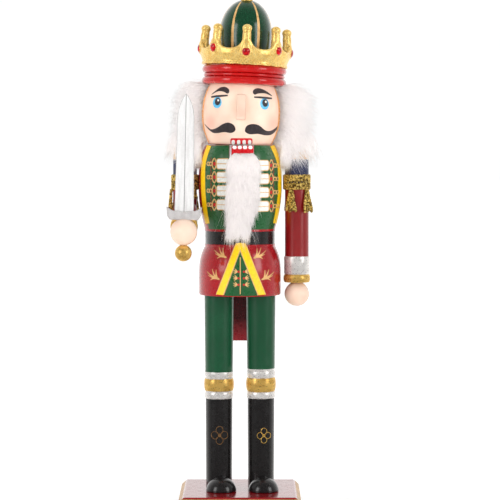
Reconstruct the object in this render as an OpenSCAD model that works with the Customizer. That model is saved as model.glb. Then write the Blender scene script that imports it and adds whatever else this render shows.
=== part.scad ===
// Nutcracker king: a turned and painted wooden figure with a sword, on a square base.
// Millimetres. +Z is up and the figure faces -Y. Its left arm is on +X.
// The origin is the centre of the base's underside.

/* [Base] */
// Width and depth of the square base
base_w = 68; // [62:1:80]
// Height of the base
base_h = 18; // [14:1:24]
// Width of the bevel round the base's top
base_bevel = 3.2; // [1:0.2:5]

/* [Legs] */
// Distance of each leg's axis from the middle
leg_x = 11.8; // [10:0.2:13]
// Radius of the trouser leg under the coat
leg_r = 8.2; // [7:0.1:8.6]
// Radius of the boot's shaft
boot_r = 7.3; // [6.5:0.1:7.6]
// Height of the boot
boot_h = 50.9; // [40:0.2:56]
// Height of the three trim beads above the boot
trim_h = 15.8; // [12:0.2:18]
// Height of the trouser leg above the trim
trouser_h = 42.6; // [36:0.1:50]
// Radius of a toe cap seen from above
toe_r = 8.5; // [7.5:0.1:9.5]
// Height of a toe cap
toe_h = 7.8; // [6:0.1:8]
// How far ahead of the leg's axis a toe cap is centred
toe_ahead = 9.5; // [8:0.1:10]
// How far both toe caps are glued to the figure's left
toe_aside = 1.4; // [0:0.1:2]

/* [Coat] */
// Height of the skirt
skirt_h = 27.7; // [24:0.1:32]
// Height of the belt
belt_h = 8.5; // [7:0.1:11]
// Height of the chest
chest_h = 47.8; // [46:0.1:50]
// Radius of the waist under the belt
waist_r = 19.6; // [19:0.1:20.5]
// Largest radius of the chest
chest_r = 23.4; // [22.6:0.1:23.6]
// Largest radius of the skirt
skirt_r = 23.1; // [22.6:0.1:23.6]

/* [Head] */
// Height of the head
head_h = 33.6; // [30:0.1:36]
// Radius of the head's flat top
head_top_r = 18.8; // [18:0.1:20]
// Largest radius of the head
head_r = 22.2; // [21:0.1:23]
// Radius of the head's flat bottom
head_bottom_r = 17.9; // [17:0.1:19]
// Angle that the head leans towards the figure's left
head_lean = 2; // [0:0.1:2.5]
// Width of the nose
nose_w = 5.2; // [4:0.1:7]
// Outer radius of the hair round the head
hair_r = 39; // [34:0.5:40]

/* [Hat] */
// How far the hat is glued towards the figure's left
hat_aside = 1; // [0:0.1:1.5]
// Height of the hat's three red beads together
band_h = 10.9; // [9:0.1:13]
// Outer radius of the red beads
band_r = 23.8; // [22.5:0.1:24.5]
// Radius of the green dome
dome_r = 14.1; // [13:0.1:15]
// Height of the dome above the red beads
dome_h = 37.7; // [32:0.1:40]
// Height of the finial
finial_h = 12.7; // [10:0.1:15]
// Number of points and of jewels on the crown
points = 8; // [6:1:8]
// Outer radius of the crown where it meets the hat
crown_foot_r = 23.6; // [22.8:0.1:24]
// Outer radius of the crown at its jewels
crown_rim_r = 25.4; // [24.6:0.1:26]
// Height of the crown, to the top of its points
crown_h = 22.7; // [19:0.1:24]

/* [Jaw] */
// Width of the slot sawn through the coat
slot_w = 13.6; // [13.2:0.1:14]
// Distance of the slot's middle from the figure's, towards its left
slot_x = 1; // [0:0.1:1.5]
// Width of the jaw lever, which sits to one side of the slot
lever_w = 12.2; // [11.6:0.1:12.6]
// Radius of the pin that the lever turns on
pin_r = 1.5; // [1.2:0.1:2]

/* [Arms] */
// Distance of the left arm's axis from the middle
left_x = 32; // [31.4:0.1:33]
// Distance of the right arm's axis from the middle
right_x = 31; // [31:0.1:33]
// Radius of the sleeves
arm_r = 6.7; // [6:0.1:6.8]
// Length of the straight arm, from its shoulder's centre to its hand's
arm_len = 73.1; // [68:0.1:78]
// Radius of the open hand
hand_r = 6.9; // [6.6:0.1:7.2]
// Radius of the fist that holds the sword
fist_r = 7.4; // [7:0.1:7.8]
// Length of the bent forearm, from the elbow to the fist's centre
forearm_len = 39; // [37:0.1:42]
// Angle that the bent forearm slopes down
forearm_dip = 17.7; // [10:1:25]
// Angle that the bent forearm turns in towards the body
forearm_turn = 0.9; // [0:0.1:2]

/* [Sword] */
// Length of the blade above the guard
blade_len = 64; // [50:0.1:70]
// Width of the blade at the guard
blade_w = 10.6; // [8:0.1:12]
// Thickness of the blade at its ridge
blade_t = 3; // [2.4:0.1:4]
// Width of the guard between its tips
guard_w = 19.4; // [16:0.1:22]
// Radius of the pommel
pommel_r = 4.6; // [4:0.1:5]

/* [Hidden] */
$fn = 64;
STEPS = 20;                // straight steps in a turned outline
EPS = 0.01;                // overlap that keeps a cut clean
FAR = 100;                 // larger than anything that is cut
FIT = 0.05;                // radial clearance of a turning pin
dowel_r = 3;               // the leg dowels and the hat's dowel
dowel_depth = 10;          // how deep a leg dowel goes into each piece
hat_dowel_depth = 8;
neck_dowel_r = 2;
neck_dowel_at = [12, 9];   // x, y of the figure's left one
neck_dowel_depth = 8;      // into the coat; the rest goes into the head
neck_dowel_len = 15;
peg_r = 2.5;
peg_depth = 2;             // how far a peg goes past the sleeve's axis
peg_end = 11.5;            // distance of a peg's inner end from the middle
shank_r = 2;
shank_len = 20;            // of a screw above the base, without its point
screw_point = 3;
screw_head_r = 4;
grip_r = 1.8;
tenon_r = 2;
tenon_len = 6;

boot_z = base_h;
trim_z = boot_z + boot_h;
trouser_z = trim_z + trim_h;
skirt_z = trouser_z + trouser_h;
belt_z = skirt_z + skirt_h;
chest_z = belt_z + belt_h;
neck_z = chest_z + chest_h;
shoulder_z = neck_z - 10.6;
lever_x = slot_x + (slot_w - lever_w) / 2 - 0.2;
pivot = [3, neck_z - 21.3];      // the jaw's axis: y, z
slot_z = neck_z - 34.3;
left_hand_z = shoulder_z - arm_len;
elbow = [-right_x, 0, shoulder_z - 25.2];
forearm_way = [cos(forearm_dip) * sin(forearm_turn), -cos(forearm_dip) * cos(forearm_turn),
    -sin(forearm_dip)];
fist = elbow + forearm_len * forearm_way;
cuff_len = 14.7;                 // the silver cuff and the gold ring together
ring_len = 4.5;                  // the gold ring at the wrist
wrist = 6.5;                     // from a hand's centre to the sleeve's end
guard_foot = 6.5;                // heights above the fist's centre
guard_top = 11.4;
guard_tip = 13.8;
pommel_drop = 11.5;
braid_z = shoulder_z - 14.8;     // underside of the braid
braid_h = 9.2;
sword_lean = 0.8;
shoulder_top = 11.5;             // height of the sleeve above its peg
dome_cut = 1.1;                  // depth of the flat on the dome's top
setting_h = 1.6;                 // height of a jewel's setting

RED = "firebrick";
GREEN = "seagreen";
GOLD = "goldenrod";
SILVER = "silver";
SKIN = "peachpuff";
WOOD = "burlywood";
FUR = "whitesmoke";
STEEL = "slategray";

// A turned solid: its outline is a list of [radius, height], closed along the axis.
module turned(outline) {
    rotate_extrude() polygon(concat([[0, outline[0][1]]], outline, [[0, outline[len(outline) - 1][1]]]));
}

// The half-ellipse that rounds a bead's side, from the bottom up.
function bead(z, h, r, bulge) = [
    for (i = [0 : 8]) [r + bulge * cos(i * 22.5 - 90), z + h / 2 + h / 2 * sin(i * 22.5 - 90)]
];

// A barrel's outline between two ends: p sets how square its lower and upper shoulders are.
function barrel(z, h, r0, r, r1, p0, p1) = [
    for (i = [0 : STEPS])
        let (t = 2 * i / STEPS - 1, end = t < 0 ? r0 : r1, p = t < 0 ? p0 : p1)
            [end + (r - end) * (1 - pow(abs(t), p)), z + h * i / STEPS]
];

// The same thing on the figure's two sides, at +X and -X.
module both(x) {
    for (side = [-1, 1]) translate([side * x, 0, 0]) children();
}

// Put a shape into the leaning head, whose local zero is the middle of the neck.
module on_neck() {
    translate([0, 0, neck_z]) rotate([0, head_lean, 0]) children();
}

// The same frame for the hat, whose local zero is the middle of the head's flat top.
module on_hat() {
    on_neck() translate([hat_aside, 0, head_h]) children();
}

// The same place on both sides of the neck joint.
module at_neck_dowels(z) {
    for (side = [-1, 1]) translate([side * neck_dowel_at[0], neck_dowel_at[1], neck_z + z]) children();
}

// Everything on the forearm's side of the elbow's mitre.
module beyond_elbow() {
    translate(elbow) rotate([-(90 - forearm_dip) / 2, 0, forearm_turn]) translate([0, 0, -FAR / 2])
        cube(FAR, center = true);
}

// The forearm's frame: +Z runs from the elbow to the fist.
module along_forearm() {
    translate(elbow) rotate([90 + forearm_dip, 0, forearm_turn]) children();
}

// The sword's frame: +Z runs up the blade from the fist's centre.
module along_sword() {
    translate(fist) rotate([0, sword_lean, 0]) children();
}

module base_outline() {
    half = base_w / 2;
    polygon([
        [-half, 0], [half, 0], [half, base_h - base_bevel], [half - base_bevel, base_h],
        [base_bevel - half, base_h], [-half, base_h - base_bevel]
    ]);
}

module base() {
    color(RED) difference() {
        intersection() {
            rotate([90, 0, 0]) linear_extrude(base_w, center = true) base_outline();
            rotate([90, 0, 90]) linear_extrude(base_w, center = true) base_outline();
        }
        both(leg_x) {
            translate([0, 0, -EPS]) cylinder(h = base_h + 1, r = shank_r + 0.2);
            translate([0, 0, -EPS]) cylinder(h = 3, r = screw_head_r + 0.3);
        }
    }
}

module leg_screw() {
    turned([
        [screw_head_r, 1], [screw_head_r, 1.6], [shank_r, 3], [shank_r, base_h + shank_len],
        [0.4, base_h + shank_len + screw_point]
    ]);
}

module leg_screws() {
    color(STEEL) both(leg_x) leg_screw();
}

module leg() {
    silver = trim_h / 4;
    difference() {
        turned(concat(
            [[boot_r, boot_z], [boot_r + 0.3, trim_z]],
            bead(trim_z, silver, boot_r + 0.3, 0.5),
            bead(trim_z + silver, trim_h - 2 * silver, boot_r + 0.3, 0.8),
            bead(trouser_z - silver, silver, boot_r + 0.3, 0.5),
            [[leg_r - 0.4, trouser_z], [leg_r, skirt_z]]
        ));
        leg_screw();
        translate([0, 0, skirt_z - dowel_depth]) cylinder(h = dowel_depth + 1, r = dowel_r);
    }
}

module left_leg() { color(GREEN) translate([leg_x, 0, 0]) leg(); }
module right_leg() { color(GREEN) translate([-leg_x, 0, 0]) leg(); }

// A slice of a ball, hollowed at the back to fit the boot.
module toe(x) {
    ball_r = (toe_r * toe_r + toe_h * toe_h) / (2 * toe_h);
    color("dimgray") difference() {
        translate([x + toe_aside, -toe_ahead, base_h + toe_h - ball_r]) sphere(ball_r);
        translate([0, 0, base_h - FAR / 2]) cube(FAR, center = true);
        translate([x, 0, 0]) cylinder(h = FAR, r = boot_r + 0.1);
    }
}

module left_toe() { toe(leg_x); }
module right_toe() { toe(-leg_x); }

module leg_dowels() {
    color(WOOD) both(leg_x) translate([0, 0, skirt_z - dowel_depth])
        cylinder(h = 2 * dowel_depth, r = dowel_r);
}

// The skirt widens fast under the belt and then hangs straight.
function skirt_outline() = concat(
    [[skirt_r - 1.5, skirt_z], [skirt_r - 0.5, skirt_z + 0.4], [skirt_r - 0.1, skirt_z + 1.4]],
    [for (i = [STEPS / 2 : -1 : 0])
        let (s = 2 * i / STEPS)
            [waist_r + (skirt_r - waist_r) * (1 - pow(1 - s, 2.5)), belt_z - 16 * s]]
);

module coat() {
    color(RED) difference() {
        turned(concat(
            skirt_outline(),
            [[waist_r, chest_z]],
            barrel(chest_z, chest_h, waist_r, chest_r, waist_r, 1.8, 3.2)
        ));
        translate([slot_x - slot_w / 2, -FAR / 2, slot_z]) cube([slot_w, FAR, FAR]);
        both(leg_x) translate([0, 0, skirt_z - 1]) cylinder(h = dowel_depth + 1, r = dowel_r);
        at_neck_dowels(-neck_dowel_depth) cylinder(h = neck_dowel_depth + 1, r = neck_dowel_r);
        translate([0, 0, shoulder_z]) rotate([0, 90, 0])
            cylinder(h = FAR, r = peg_r + FIT, center = true);
        translate([0, pivot[0], pivot[1]]) rotate([0, 90, 0])
            cylinder(h = FAR, r = pin_r, center = true);
    }
}

module neck_dowels() {
    color(WOOD) at_neck_dowels(-neck_dowel_depth) cylinder(h = neck_dowel_len, r = neck_dowel_r);
}

module pivot_pin() {
    color(STEEL) translate([0, pivot[0], pivot[1]]) rotate([0, 90, 0])
        cylinder(h = 2 * (chest_r - 1.4), r = pin_r, center = true);
}

// The head leans, so its bottom is sawn level to sit flat on the coat.
module head_block() {
    on_neck() turned(concat(
        [[head_bottom_r - 0.2, -2]],
        barrel(0, head_h, head_bottom_r, head_r, head_top_r, 2.2, 2.4)
    ));
}

module head() {
    color(SKIN) difference() {
        head_block();
        translate([0, 0, neck_z - FAR / 2]) cube(FAR, center = true);
        at_neck_dowels(-1) cylinder(h = neck_dowel_len - neck_dowel_depth + 1, r = neck_dowel_r);
        on_hat() translate([0, 0, -hat_dowel_depth]) cylinder(h = hat_dowel_depth + 1, r = dowel_r);
    }
}

// A wedge that stands out furthest at its lower end.
module nose() {
    color(SKIN) difference() {
        on_neck() rotate([90, 0, 90]) linear_extrude(nose_w, center = true)
            polygon([[-18, 13.2], [-27.4, 13.8], [-27.6, 15.2], [-22.4, 27.6], [-18, 28]]);
        head_block();
    }
}

module hair() {
    inner = head_r + 0.6;
    color(FUR) on_neck() rotate([0, 0, -22]) rotate_extrude(angle = 224) polygon([
        [inner, 1], [inner + 0.4, 1], [inner + 2, 5.2], [hair_r - 4, 5.2], [hair_r, 12],
        [hair_r - 2, 20], [hair_r - 7, 27], [hair_r - 13, 31.5], [inner, head_h - 0.7]
    ]);
}

module hat_band() {
    low = 0.4 * band_h;
    thin = 0.17 * band_h;
    high = band_h - low - thin;
    color(RED) difference() {
        on_hat() turned(concat(
            bead(0, low, band_r - low / 2, low / 2),
            bead(low, thin, band_r - 0.9 - thin / 2, thin / 2),
            bead(low + thin, high, band_r - high / 2, high / 2)
        ));
        on_hat() cylinder(h = FAR, r = dowel_r, center = true);
    }
}

module hat_dowel() {
    color(WOOD) on_hat() translate([0, 0, -hat_dowel_depth])
        cylinder(h = band_h + 2 * hat_dowel_depth, r = dowel_r);
}

// An egg cut flat above and below: the upper end is half an ellipse.
module dome() {
    rise = 19.8;
    flat = dome_h - dome_cut;
    color(GREEN) difference() {
        on_hat() translate([0, 0, band_h]) turned(concat(
            [[dome_r - 1.2, 0], [dome_r - 0.3, 7]],
            [for (i = [0 : 14])
                let (a = i * asin((flat - dome_h + rise) / rise) / 14)
                    [dome_r * cos(a), dome_h - rise + rise * sin(a)]]
        ));
        on_hat() cylinder(h = band_h + hat_dowel_depth, r = dowel_r);
    }
}

module finial() {
    ball_r = 0.36 * finial_h;
    color(GOLD) on_hat() translate([0, 0, band_h + dome_h - dome_cut]) {
        turned([[3.4, 0], [3.2, 1], [2, 1.8], [1.6, finial_h / 2], [0.8, finial_h - 1], [0.3, finial_h]]);
        translate([0, 0, finial_h / 2 + 0.3]) sphere(ball_r);
    }
}

module crown() {
    wall = 1.8;
    rim = 7.2;
    lean = 4;
    color(GOLD) on_hat() translate([0, 0, band_h]) {
        rotate_extrude() polygon([
            [crown_foot_r - wall, 0], [crown_foot_r, 0], [crown_foot_r + 0.3, 1.2],
            [crown_foot_r, 2], [crown_rim_r, rim - 1.4], [crown_rim_r, rim], [crown_rim_r - wall, rim]
        ]);
        for (i = [0 : points - 1]) rotate([0, 0, i * 360 / points]) {
            translate([0, 1.9 - crown_rim_r, rim - 1.2]) rotate([-lean, 0, 0]) {
                cylinder(h = crown_h - rim - 1.4, r1 = 2.2, r2 = 1.6);
                translate([0, 0, 8.2]) sphere(2.3);
                translate([0, 0, crown_h - rim - 1.4]) sphere(2.6);
            }
            jewel_place() cylinder(h = setting_h, r = 2.9);
        }
    }
}

// The middle of a setting on the crown's wall, with +Z pointing out.
module jewel_place() {
    translate([0, 1 - crown_rim_r, 7]) rotate([91, 0, 0]) children();
}

module jewels() {
    color("crimson") on_hat() translate([0, 0, band_h])
        for (i = [0 : points - 1]) rotate([0, 0, i * 360 / points])
            jewel_place() translate([0, 0, setting_h]) cylinder(h = 0.8, r1 = 2.4, r2 = 1.4);
}

// Mouth, web and handle, sawn from one board. Points are [y, z] below the neck.
module jaw_lever() {
    color(RED) difference() {
        translate([lever_x, 0, neck_z]) rotate([90, 0, 90]) linear_extrude(lever_w, center = true)
            polygon([
                [-20.2, -0.4], [-21.6, -4.9], [-22.7, -9], [-23, -15], [-22.4, -25], [-15, -28.3],
                [-8, -29], [12, -28], [21, -27], [24.6, -30], [24.6, -102.5], [27.4, -112.7],
                [33.2, -112.7], [29.8, -101.5], [29.8, -20], [27, -15.5], [18, -12.8], [-6, -12],
                [-11, -9], [-13, -0.4]
            ]);
        translate([0, pivot[0], pivot[1]]) rotate([0, 90, 0])
            cylinder(h = FAR, r = pin_r + FIT, center = true);
    }
}

// Half a turned drop, flat against the coat.
module beard() {
    color(FUR) translate([0, -chest_r - 0.6, neck_z]) rotate([0, 0, 180])
        rotate_extrude(angle = 180) polygon([
            [0, -53.5], [3, -53.5], [8, -49], [10, -42], [10.3, -25], [9, -12], [7, -7.5], [0, -7.3]
        ]);
}

// A sleeve hanging straight down, with its peg's centre at zero and a rounded top edge.
module sleeve(len) {
    edge = 2;
    turned(concat(
        [[arm_r, -len]],
        [for (a = [0 : 15 : 90])
            [arm_r - edge + edge * cos(a), shoulder_top - edge + edge * sin(a)]]
    ));
}

// The peg's frame: +Z runs from inside the sleeve towards the middle of the figure.
module along_peg(x) {
    translate([x, 0, shoulder_z]) rotate([0, x > 0 ? -90 : 90, 0]) translate([0, 0, -peg_depth])
        children();
}

module peg_hole(x) {
    along_peg(x) cylinder(h = FAR / 4, r = peg_r);
}

// The silver cuff and the gold ring, with the wrist at zero and +Z up the sleeve.
module cuff() {
    turned([
        [arm_r + 0.4, 0], [arm_r + 0.8, 0.5], [arm_r + 0.8, ring_len - 0.3], [arm_r + 0.5, ring_len],
        [arm_r + 0.5, cuff_len - 0.4], [arm_r, cuff_len]
    ]);
}

// A ball with a flat and a tenon where it meets the sleeve, which lies towards +Z.
module hand(r) {
    difference() {
        sphere(r);
        translate([0, 0, wrist + FAR / 2]) cube(FAR, center = true);
    }
    cylinder(h = wrist + tenon_len, r = tenon_r);
}

module left_arm() {
    len = arm_len - wrist;
    color(RED) difference() {
        translate([left_x, 0, shoulder_z]) {
            sleeve(len);
            translate([0, 0, -len]) cuff();
        }
        peg_hole(left_x);
        translate([left_x, 0, left_hand_z]) cylinder(h = wrist + tenon_len, r = tenon_r);
    }
}

module left_hand() {
    color(SKIN) translate([left_x, 0, left_hand_z]) hand(hand_r);
}

module right_upper_arm() {
    color(RED) difference() {
        translate([-right_x, 0, shoulder_z]) sleeve(shoulder_z - elbow[2] + 20);
        beyond_elbow();
        peg_hole(-right_x);
    }
}

module right_forearm() {
    len = forearm_len - wrist;
    color(RED) difference() {
        intersection() {
            along_forearm() {
                translate([0, 0, -20]) cylinder(h = len + 20, r = arm_r);
                translate([0, 0, len]) mirror([0, 0, 1]) cuff();
            }
            beyond_elbow();
        }
        along_forearm() translate([0, 0, len - tenon_len]) cylinder(h = tenon_len + 1, r = tenon_r);
    }
}

module right_hand() {
    color(SKIN) difference() {
        along_forearm() translate([0, 0, forearm_len]) mirror([0, 0, 1]) hand(fist_r);
        along_sword() cylinder(h = 3 * fist_r, r = grip_r, center = true);
    }
}

// A dowel that is fixed in the sleeve and turns in the coat.
module peg(x) {
    color(WOOD) along_peg(x) cylinder(h = abs(x) + peg_depth - peg_end, r = peg_r);
}

module left_peg() { peg(left_x); }
module right_peg() { peg(-right_x); }

// A flat plait round the sleeve.
module braid(x) {
    color(GOLD) translate([x, 0, braid_z]) rotate_extrude() polygon([
        [arm_r, 0], [arm_r + 0.4, 0], [arm_r + 0.6, 0.5], [arm_r + 0.6, braid_h - 0.5],
        [arm_r + 0.4, braid_h], [arm_r, braid_h]
    ]);
}

module left_braid() { braid(left_x); }
module right_braid() { braid(-right_x); }

// Tassels, each given by its length and its angle from straight ahead towards +X.
module tassels(x, list) {
    color(GOLD) translate([x, 0, braid_z]) for (t = list) rotate([0, 0, t[1]])
        translate([0, -arm_r - 1.25, 0]) rotate([-6, 0, 0]) mirror([0, 0, 1])
            cylinder(h = t[0], r1 = 1.1, r2 = 1.1 + 0.09 * t[0]);
}

module left_tassels() { tassels(left_x, [[12.5, -22], [12.5, 48], [12.5, 132], [12.5, 212]]); }
module right_tassels() { tassels(-right_x, [[12.5, -85], [5, 38], [12.5, 142], [12.5, 218]]); }

module blade_outline() {
    shoulder = 0.77 * blade_len;
    polygon([
        [-blade_w / 2, 0], [blade_w / 2, 0], [0.92 * blade_w / 2, shoulder + 4], [0.3, blade_len],
        [-0.3, blade_len], [-0.92 * blade_w / 2, shoulder - 4]
    ]);
}

module sword_blade() {
    color(SILVER) along_sword() translate([0, 0, guard_top]) intersection() {
        linear_extrude(blade_len) polygon([
            [-blade_w / 2 - 0.6, 0], [0, -blade_t / 2], [blade_w / 2 + 0.6, 0], [0, blade_t / 2]
        ]);
        rotate([90, 0, 0]) linear_extrude(FAR, center = true) blade_outline();
    }
}

module sword_guard() {
    half = guard_w / 2;
    color(SILVER) difference() {
        along_sword() rotate([90, 0, 0]) linear_extrude(5, center = true) polygon([
            [2 - half, guard_foot], [half - 2, guard_foot], [half - 0.6, guard_foot + 3],
            [half, guard_tip], [half - 2.8, guard_top + 0.5], [half - 4.1, guard_top],
            [4.1 - half, guard_top], [2.8 - half, guard_top + 0.5], [-half, guard_tip],
            [0.6 - half, guard_foot + 3]
        ]);
        translate(fist) sphere(fist_r);
        along_sword() cylinder(h = guard_top - 0.6, r = grip_r);
    }
}

// The dowel inside the fist, from the pommel to the guard.
module sword_grip() {
    color(WOOD) along_sword() translate([0, 0, -pommel_drop - 1])
        cylinder(h = pommel_drop + guard_top + 0.4, r = grip_r);
}

module sword_pommel() {
    color(GOLD) difference() {
        along_sword() translate([0, 0, -pommel_drop]) sphere(pommel_r);
        translate(fist) sphere(fist_r);
        along_sword() translate([0, 0, -pommel_drop - 1]) cylinder(h = 20, r = grip_r);
    }
}

base();
leg_screws();
left_leg();
right_leg();
left_toe();
right_toe();
leg_dowels();
coat();
neck_dowels();
pivot_pin();
head();
nose();
hair();
hat_band();
hat_dowel();
dome();
finial();
crown();
jewels();
jaw_lever();
beard();
left_arm();
left_hand();
left_peg();
left_braid();
left_tassels();
right_upper_arm();
right_forearm();
right_hand();
right_peg();
right_braid();
right_tassels();
sword_blade();
sword_guard();
sword_grip();
sword_pommel();
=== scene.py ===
"""The looks of the nutcracker king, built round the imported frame.

Lengths in this script are millimetres, in the frame's own axes: the figure faces -Y, its left arm is on +X.
"""

from math import copysign, cos, exp, pi, radians, sin, sqrt, tau

import bmesh
import bpy
import numpy as np
from mathutils import Matrix, Vector, noise


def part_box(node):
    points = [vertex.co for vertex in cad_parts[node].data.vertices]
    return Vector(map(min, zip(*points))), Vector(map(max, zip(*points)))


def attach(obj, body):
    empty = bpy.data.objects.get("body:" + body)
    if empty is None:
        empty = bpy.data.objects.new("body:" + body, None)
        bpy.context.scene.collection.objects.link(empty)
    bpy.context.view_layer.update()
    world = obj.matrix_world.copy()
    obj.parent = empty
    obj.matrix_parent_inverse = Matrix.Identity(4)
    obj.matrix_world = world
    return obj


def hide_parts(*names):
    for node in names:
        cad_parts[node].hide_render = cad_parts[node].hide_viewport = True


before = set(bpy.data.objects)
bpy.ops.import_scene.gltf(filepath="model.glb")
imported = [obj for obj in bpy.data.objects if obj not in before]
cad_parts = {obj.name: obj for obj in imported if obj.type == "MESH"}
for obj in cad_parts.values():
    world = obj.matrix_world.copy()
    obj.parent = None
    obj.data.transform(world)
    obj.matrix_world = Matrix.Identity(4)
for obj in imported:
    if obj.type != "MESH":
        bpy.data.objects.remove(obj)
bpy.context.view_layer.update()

MM = 0.001


def shift(x, y, z):
    return Matrix.Translation((x, y, z))


def spin(angle, axis):
    return Matrix.Rotation(angle, 4, axis)


# ---- places taken from the frame

def low(node):
    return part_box(node)[0] / MM


def high(node):
    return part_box(node)[1] / MM


def middle(node):
    return (low(node) + high(node)) / 2


BASE_TOP = high("base").z
BASE_HALF = high("base").x
NECK_Z = high("coat").z
SKIRT_Z = low("coat").z
LEG_X = middle("left_leg").x
LEFT_X = middle("left_arm").x
RIGHT_X = middle("right_braid").x
LEFT_HAND_Z = low("left_hand").z + 6.9
LEVER = low("jaw_lever").x, high("jaw_lever").x

BELT_Z = SKIRT_Z + 27.7
CHEST_Z = BELT_Z + 8.5
BELT_R = 19.6
SHOULDER_Z = NECK_Z - 10.6
BRAID_Z = low("left_braid").z
BRAID_H = high("left_braid").z - BRAID_Z
TRIM_Z = BASE_TOP + 50.9
TROUSER_Z = TRIM_Z + 15.8

HEAD_H = 33.6
BAND_H = 10.9
DOME_H = 37.7
HAT_Z = HEAD_H + BAND_H
LEAN = radians(2)
HEAD = shift(0, 0, NECK_Z) @ spin(LEAN, "Y")
HAT_ASIDE = 1
HAT = HEAD @ shift(HAT_ASIDE, 0, HAT_Z)

SLEEVE_R = 6.7
WRIST = 6.5
FOREARM = 39
DIP, TURN = radians(17.7), radians(0.9)
ELBOW = Vector((RIGHT_X, 0, SHOULDER_Z - 25.2))
FORE = Matrix.Translation(ELBOW) @ spin(TURN, "Z") @ spin(pi / 2 + DIP, "X")
FIST = FORE @ Vector((0, 0, FOREARM))
SWORD = Matrix.Translation(FIST) @ spin(radians(1.1), "Y")

HAIRS = 8200


# ---- shapes

class Shape:
    """Closed shells gathered into one piece, in millimetres."""

    def __init__(self):
        self.verts = []
        self.faces = []
        self.paints = []

    def add(self, part, paint=0, place=None):
        """Add (verts, faces) or (verts, faces, paint numbers), moved by the matrix place."""
        verts, faces = part[0], part[1]
        first = len(self.verts)
        self.verts += [place @ Vector(v) if place else Vector(v) for v in verts]
        self.faces += [[first + i for i in face] for face in faces]
        self.paints += part[2] if len(part) > 2 else [paint] * len(faces)
        return self

    def build(self, name, paints, body, slot, replaces=(), smooth=True, sharp=38):
        """Make the object, ride it on its body and hide the frame's parts that it replaces."""
        mesh = bpy.data.meshes.new(name)
        mesh.from_pydata([v * MM for v in self.verts], [], self.faces)
        for paint in paints:
            mesh.materials.append(paint)
        mesh.polygons.foreach_set("material_index", self.paints)
        mesh.polygons.foreach_set("use_smooth", [smooth] * len(self.faces))
        if smooth:
            mesh.set_sharp_from_angle(angle=radians(sharp))
        mesh.update()
        return ridden(mesh, name, body, replaces)


def scene_object(name, data):
    """A new object, linked into the scene."""
    made = bpy.data.objects.new(name, data)
    bpy.context.scene.collection.objects.link(made)
    return made


def ridden(mesh, name, body, replaces=()):
    """Put a finished mesh into the scene on its body."""
    piece = scene_object(name, mesh)
    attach(piece, body)
    if replaces:
        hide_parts(*replaces)
    return piece


def walls(rings, around, wrap=False, flip=False):
    """The four-sided faces between rings of points; wrap joins the last ring to the first."""
    faces = []
    for j in range(rings if wrap else rings - 1):
        n = (j + 1) % rings
        for i in range(around):
            k = (i + 1) % around
            a, b, c, d = j * around + i, j * around + k, n * around + k, n * around + i
            faces.append((a, d, c, b) if flip else (a, b, c, d))
    return faces


def caps(rings, around, flip=False):
    """The two end faces of a stack of rings."""
    ends = [tuple(range(around))[::-1], tuple(range((rings - 1) * around, rings * around))]
    return [end[::-1] for end in ends] if flip else ends


def turned(rows, around=128, wobble=None):
    """A lathe shape of rows (radius, height, paint of the strip above); wobble(angle, row) lifts a row."""
    verts = []
    for j, row in enumerate(rows):
        for i in range(around):
            angle = tau * i / around
            lift = wobble(angle, j) if wobble else 0
            verts.append((row[0] * sin(angle), -row[0] * cos(angle), row[1] + lift))
    paints = [row[2] if len(row) > 2 else 0 for row in rows[:-1] for _ in range(around)]
    paints += [paints[0]] * 2
    return verts, walls(len(rows), around) + caps(len(rows), around), paints


def arc(centre_r, centre_z, radius_r, radius_z, first, last, steps, paint=0):
    """Rows along part of an ellipse; angles in degrees from straight out, upwards."""
    rows = []
    for i in range(steps + 1):
        a = radians(first + (last - first) * i / steps)
        rows.append((centre_r + radius_r * cos(a), centre_z + radius_z * sin(a), paint))
    return rows


def barrel(z, height, low_r, mid_r, high_r, low_power, high_power):
    """The radius at height z of a barrel with square or soft shoulders."""
    t = max(-1, min(1, 2 * z / height - 1))
    end, power = (low_r, low_power) if t < 0 else (high_r, high_power)
    return end + (mid_r - end) * (1 - abs(t) ** power)


def ball(radius, height, steps, around):
    """A ball turned on the upright axis; height is half its own."""
    rows = []
    for i in range(steps + 1):
        a = radians(-90 + 180 * i / steps)
        rows.append((max(0.02, radius * cos(a)), height * sin(a)))
    return turned(rows, around)


def tube(points, radius, sides=8, closed=False):
    """A swept round bar; radius is one number or one for each point."""
    points = [Vector(p) for p in points]
    count = len(points)
    radii = radius if isinstance(radius, (list, tuple)) else [radius] * count
    verts = []
    side = None
    for i, p in enumerate(points):
        ahead = points[(i + 1) % count] if closed or i < count - 1 else p
        behind = points[i - 1] if closed or i > 0 else p
        along = (ahead - behind).normalized()
        if side is None:
            side = along.orthogonal().normalized()
        side = (side - along * side.dot(along)).normalized()
        up = along.cross(side)
        for k in range(sides):
            a = tau * k / sides
            verts.append(p + radii[i] * (cos(a) * side + sin(a) * up))
    return verts, walls(count, sides, closed) + ([] if closed else caps(count, sides))


def prism(outline, x0, x1):
    """An outline [y, z], anticlockwise seen from +X, extruded along X."""
    count = len(outline)
    verts = [(x, y, z) for x in (x0, x1) for y, z in outline]
    return verts, caps(2, count) + walls(2, count)


def soften(piece, width, segments=3, angle=25):
    """Round a piece's sharp edges for good."""
    bevel = piece.modifiers.new("edges", "BEVEL")
    bevel.width = width * MM
    bevel.segments = segments
    bevel.limit_method = "ANGLE"
    bevel.angle_limit = radians(angle)
    bevel.harden_normals = True
    bake_modifiers(piece)
    return piece


def bake_modifiers(piece):
    """Apply every modifier on a piece."""
    graph = bpy.context.evaluated_depsgraph_get()
    mesh = bpy.data.meshes.new_from_object(piece.evaluated_get(graph))
    piece.modifiers.clear()
    piece.data = mesh


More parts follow.
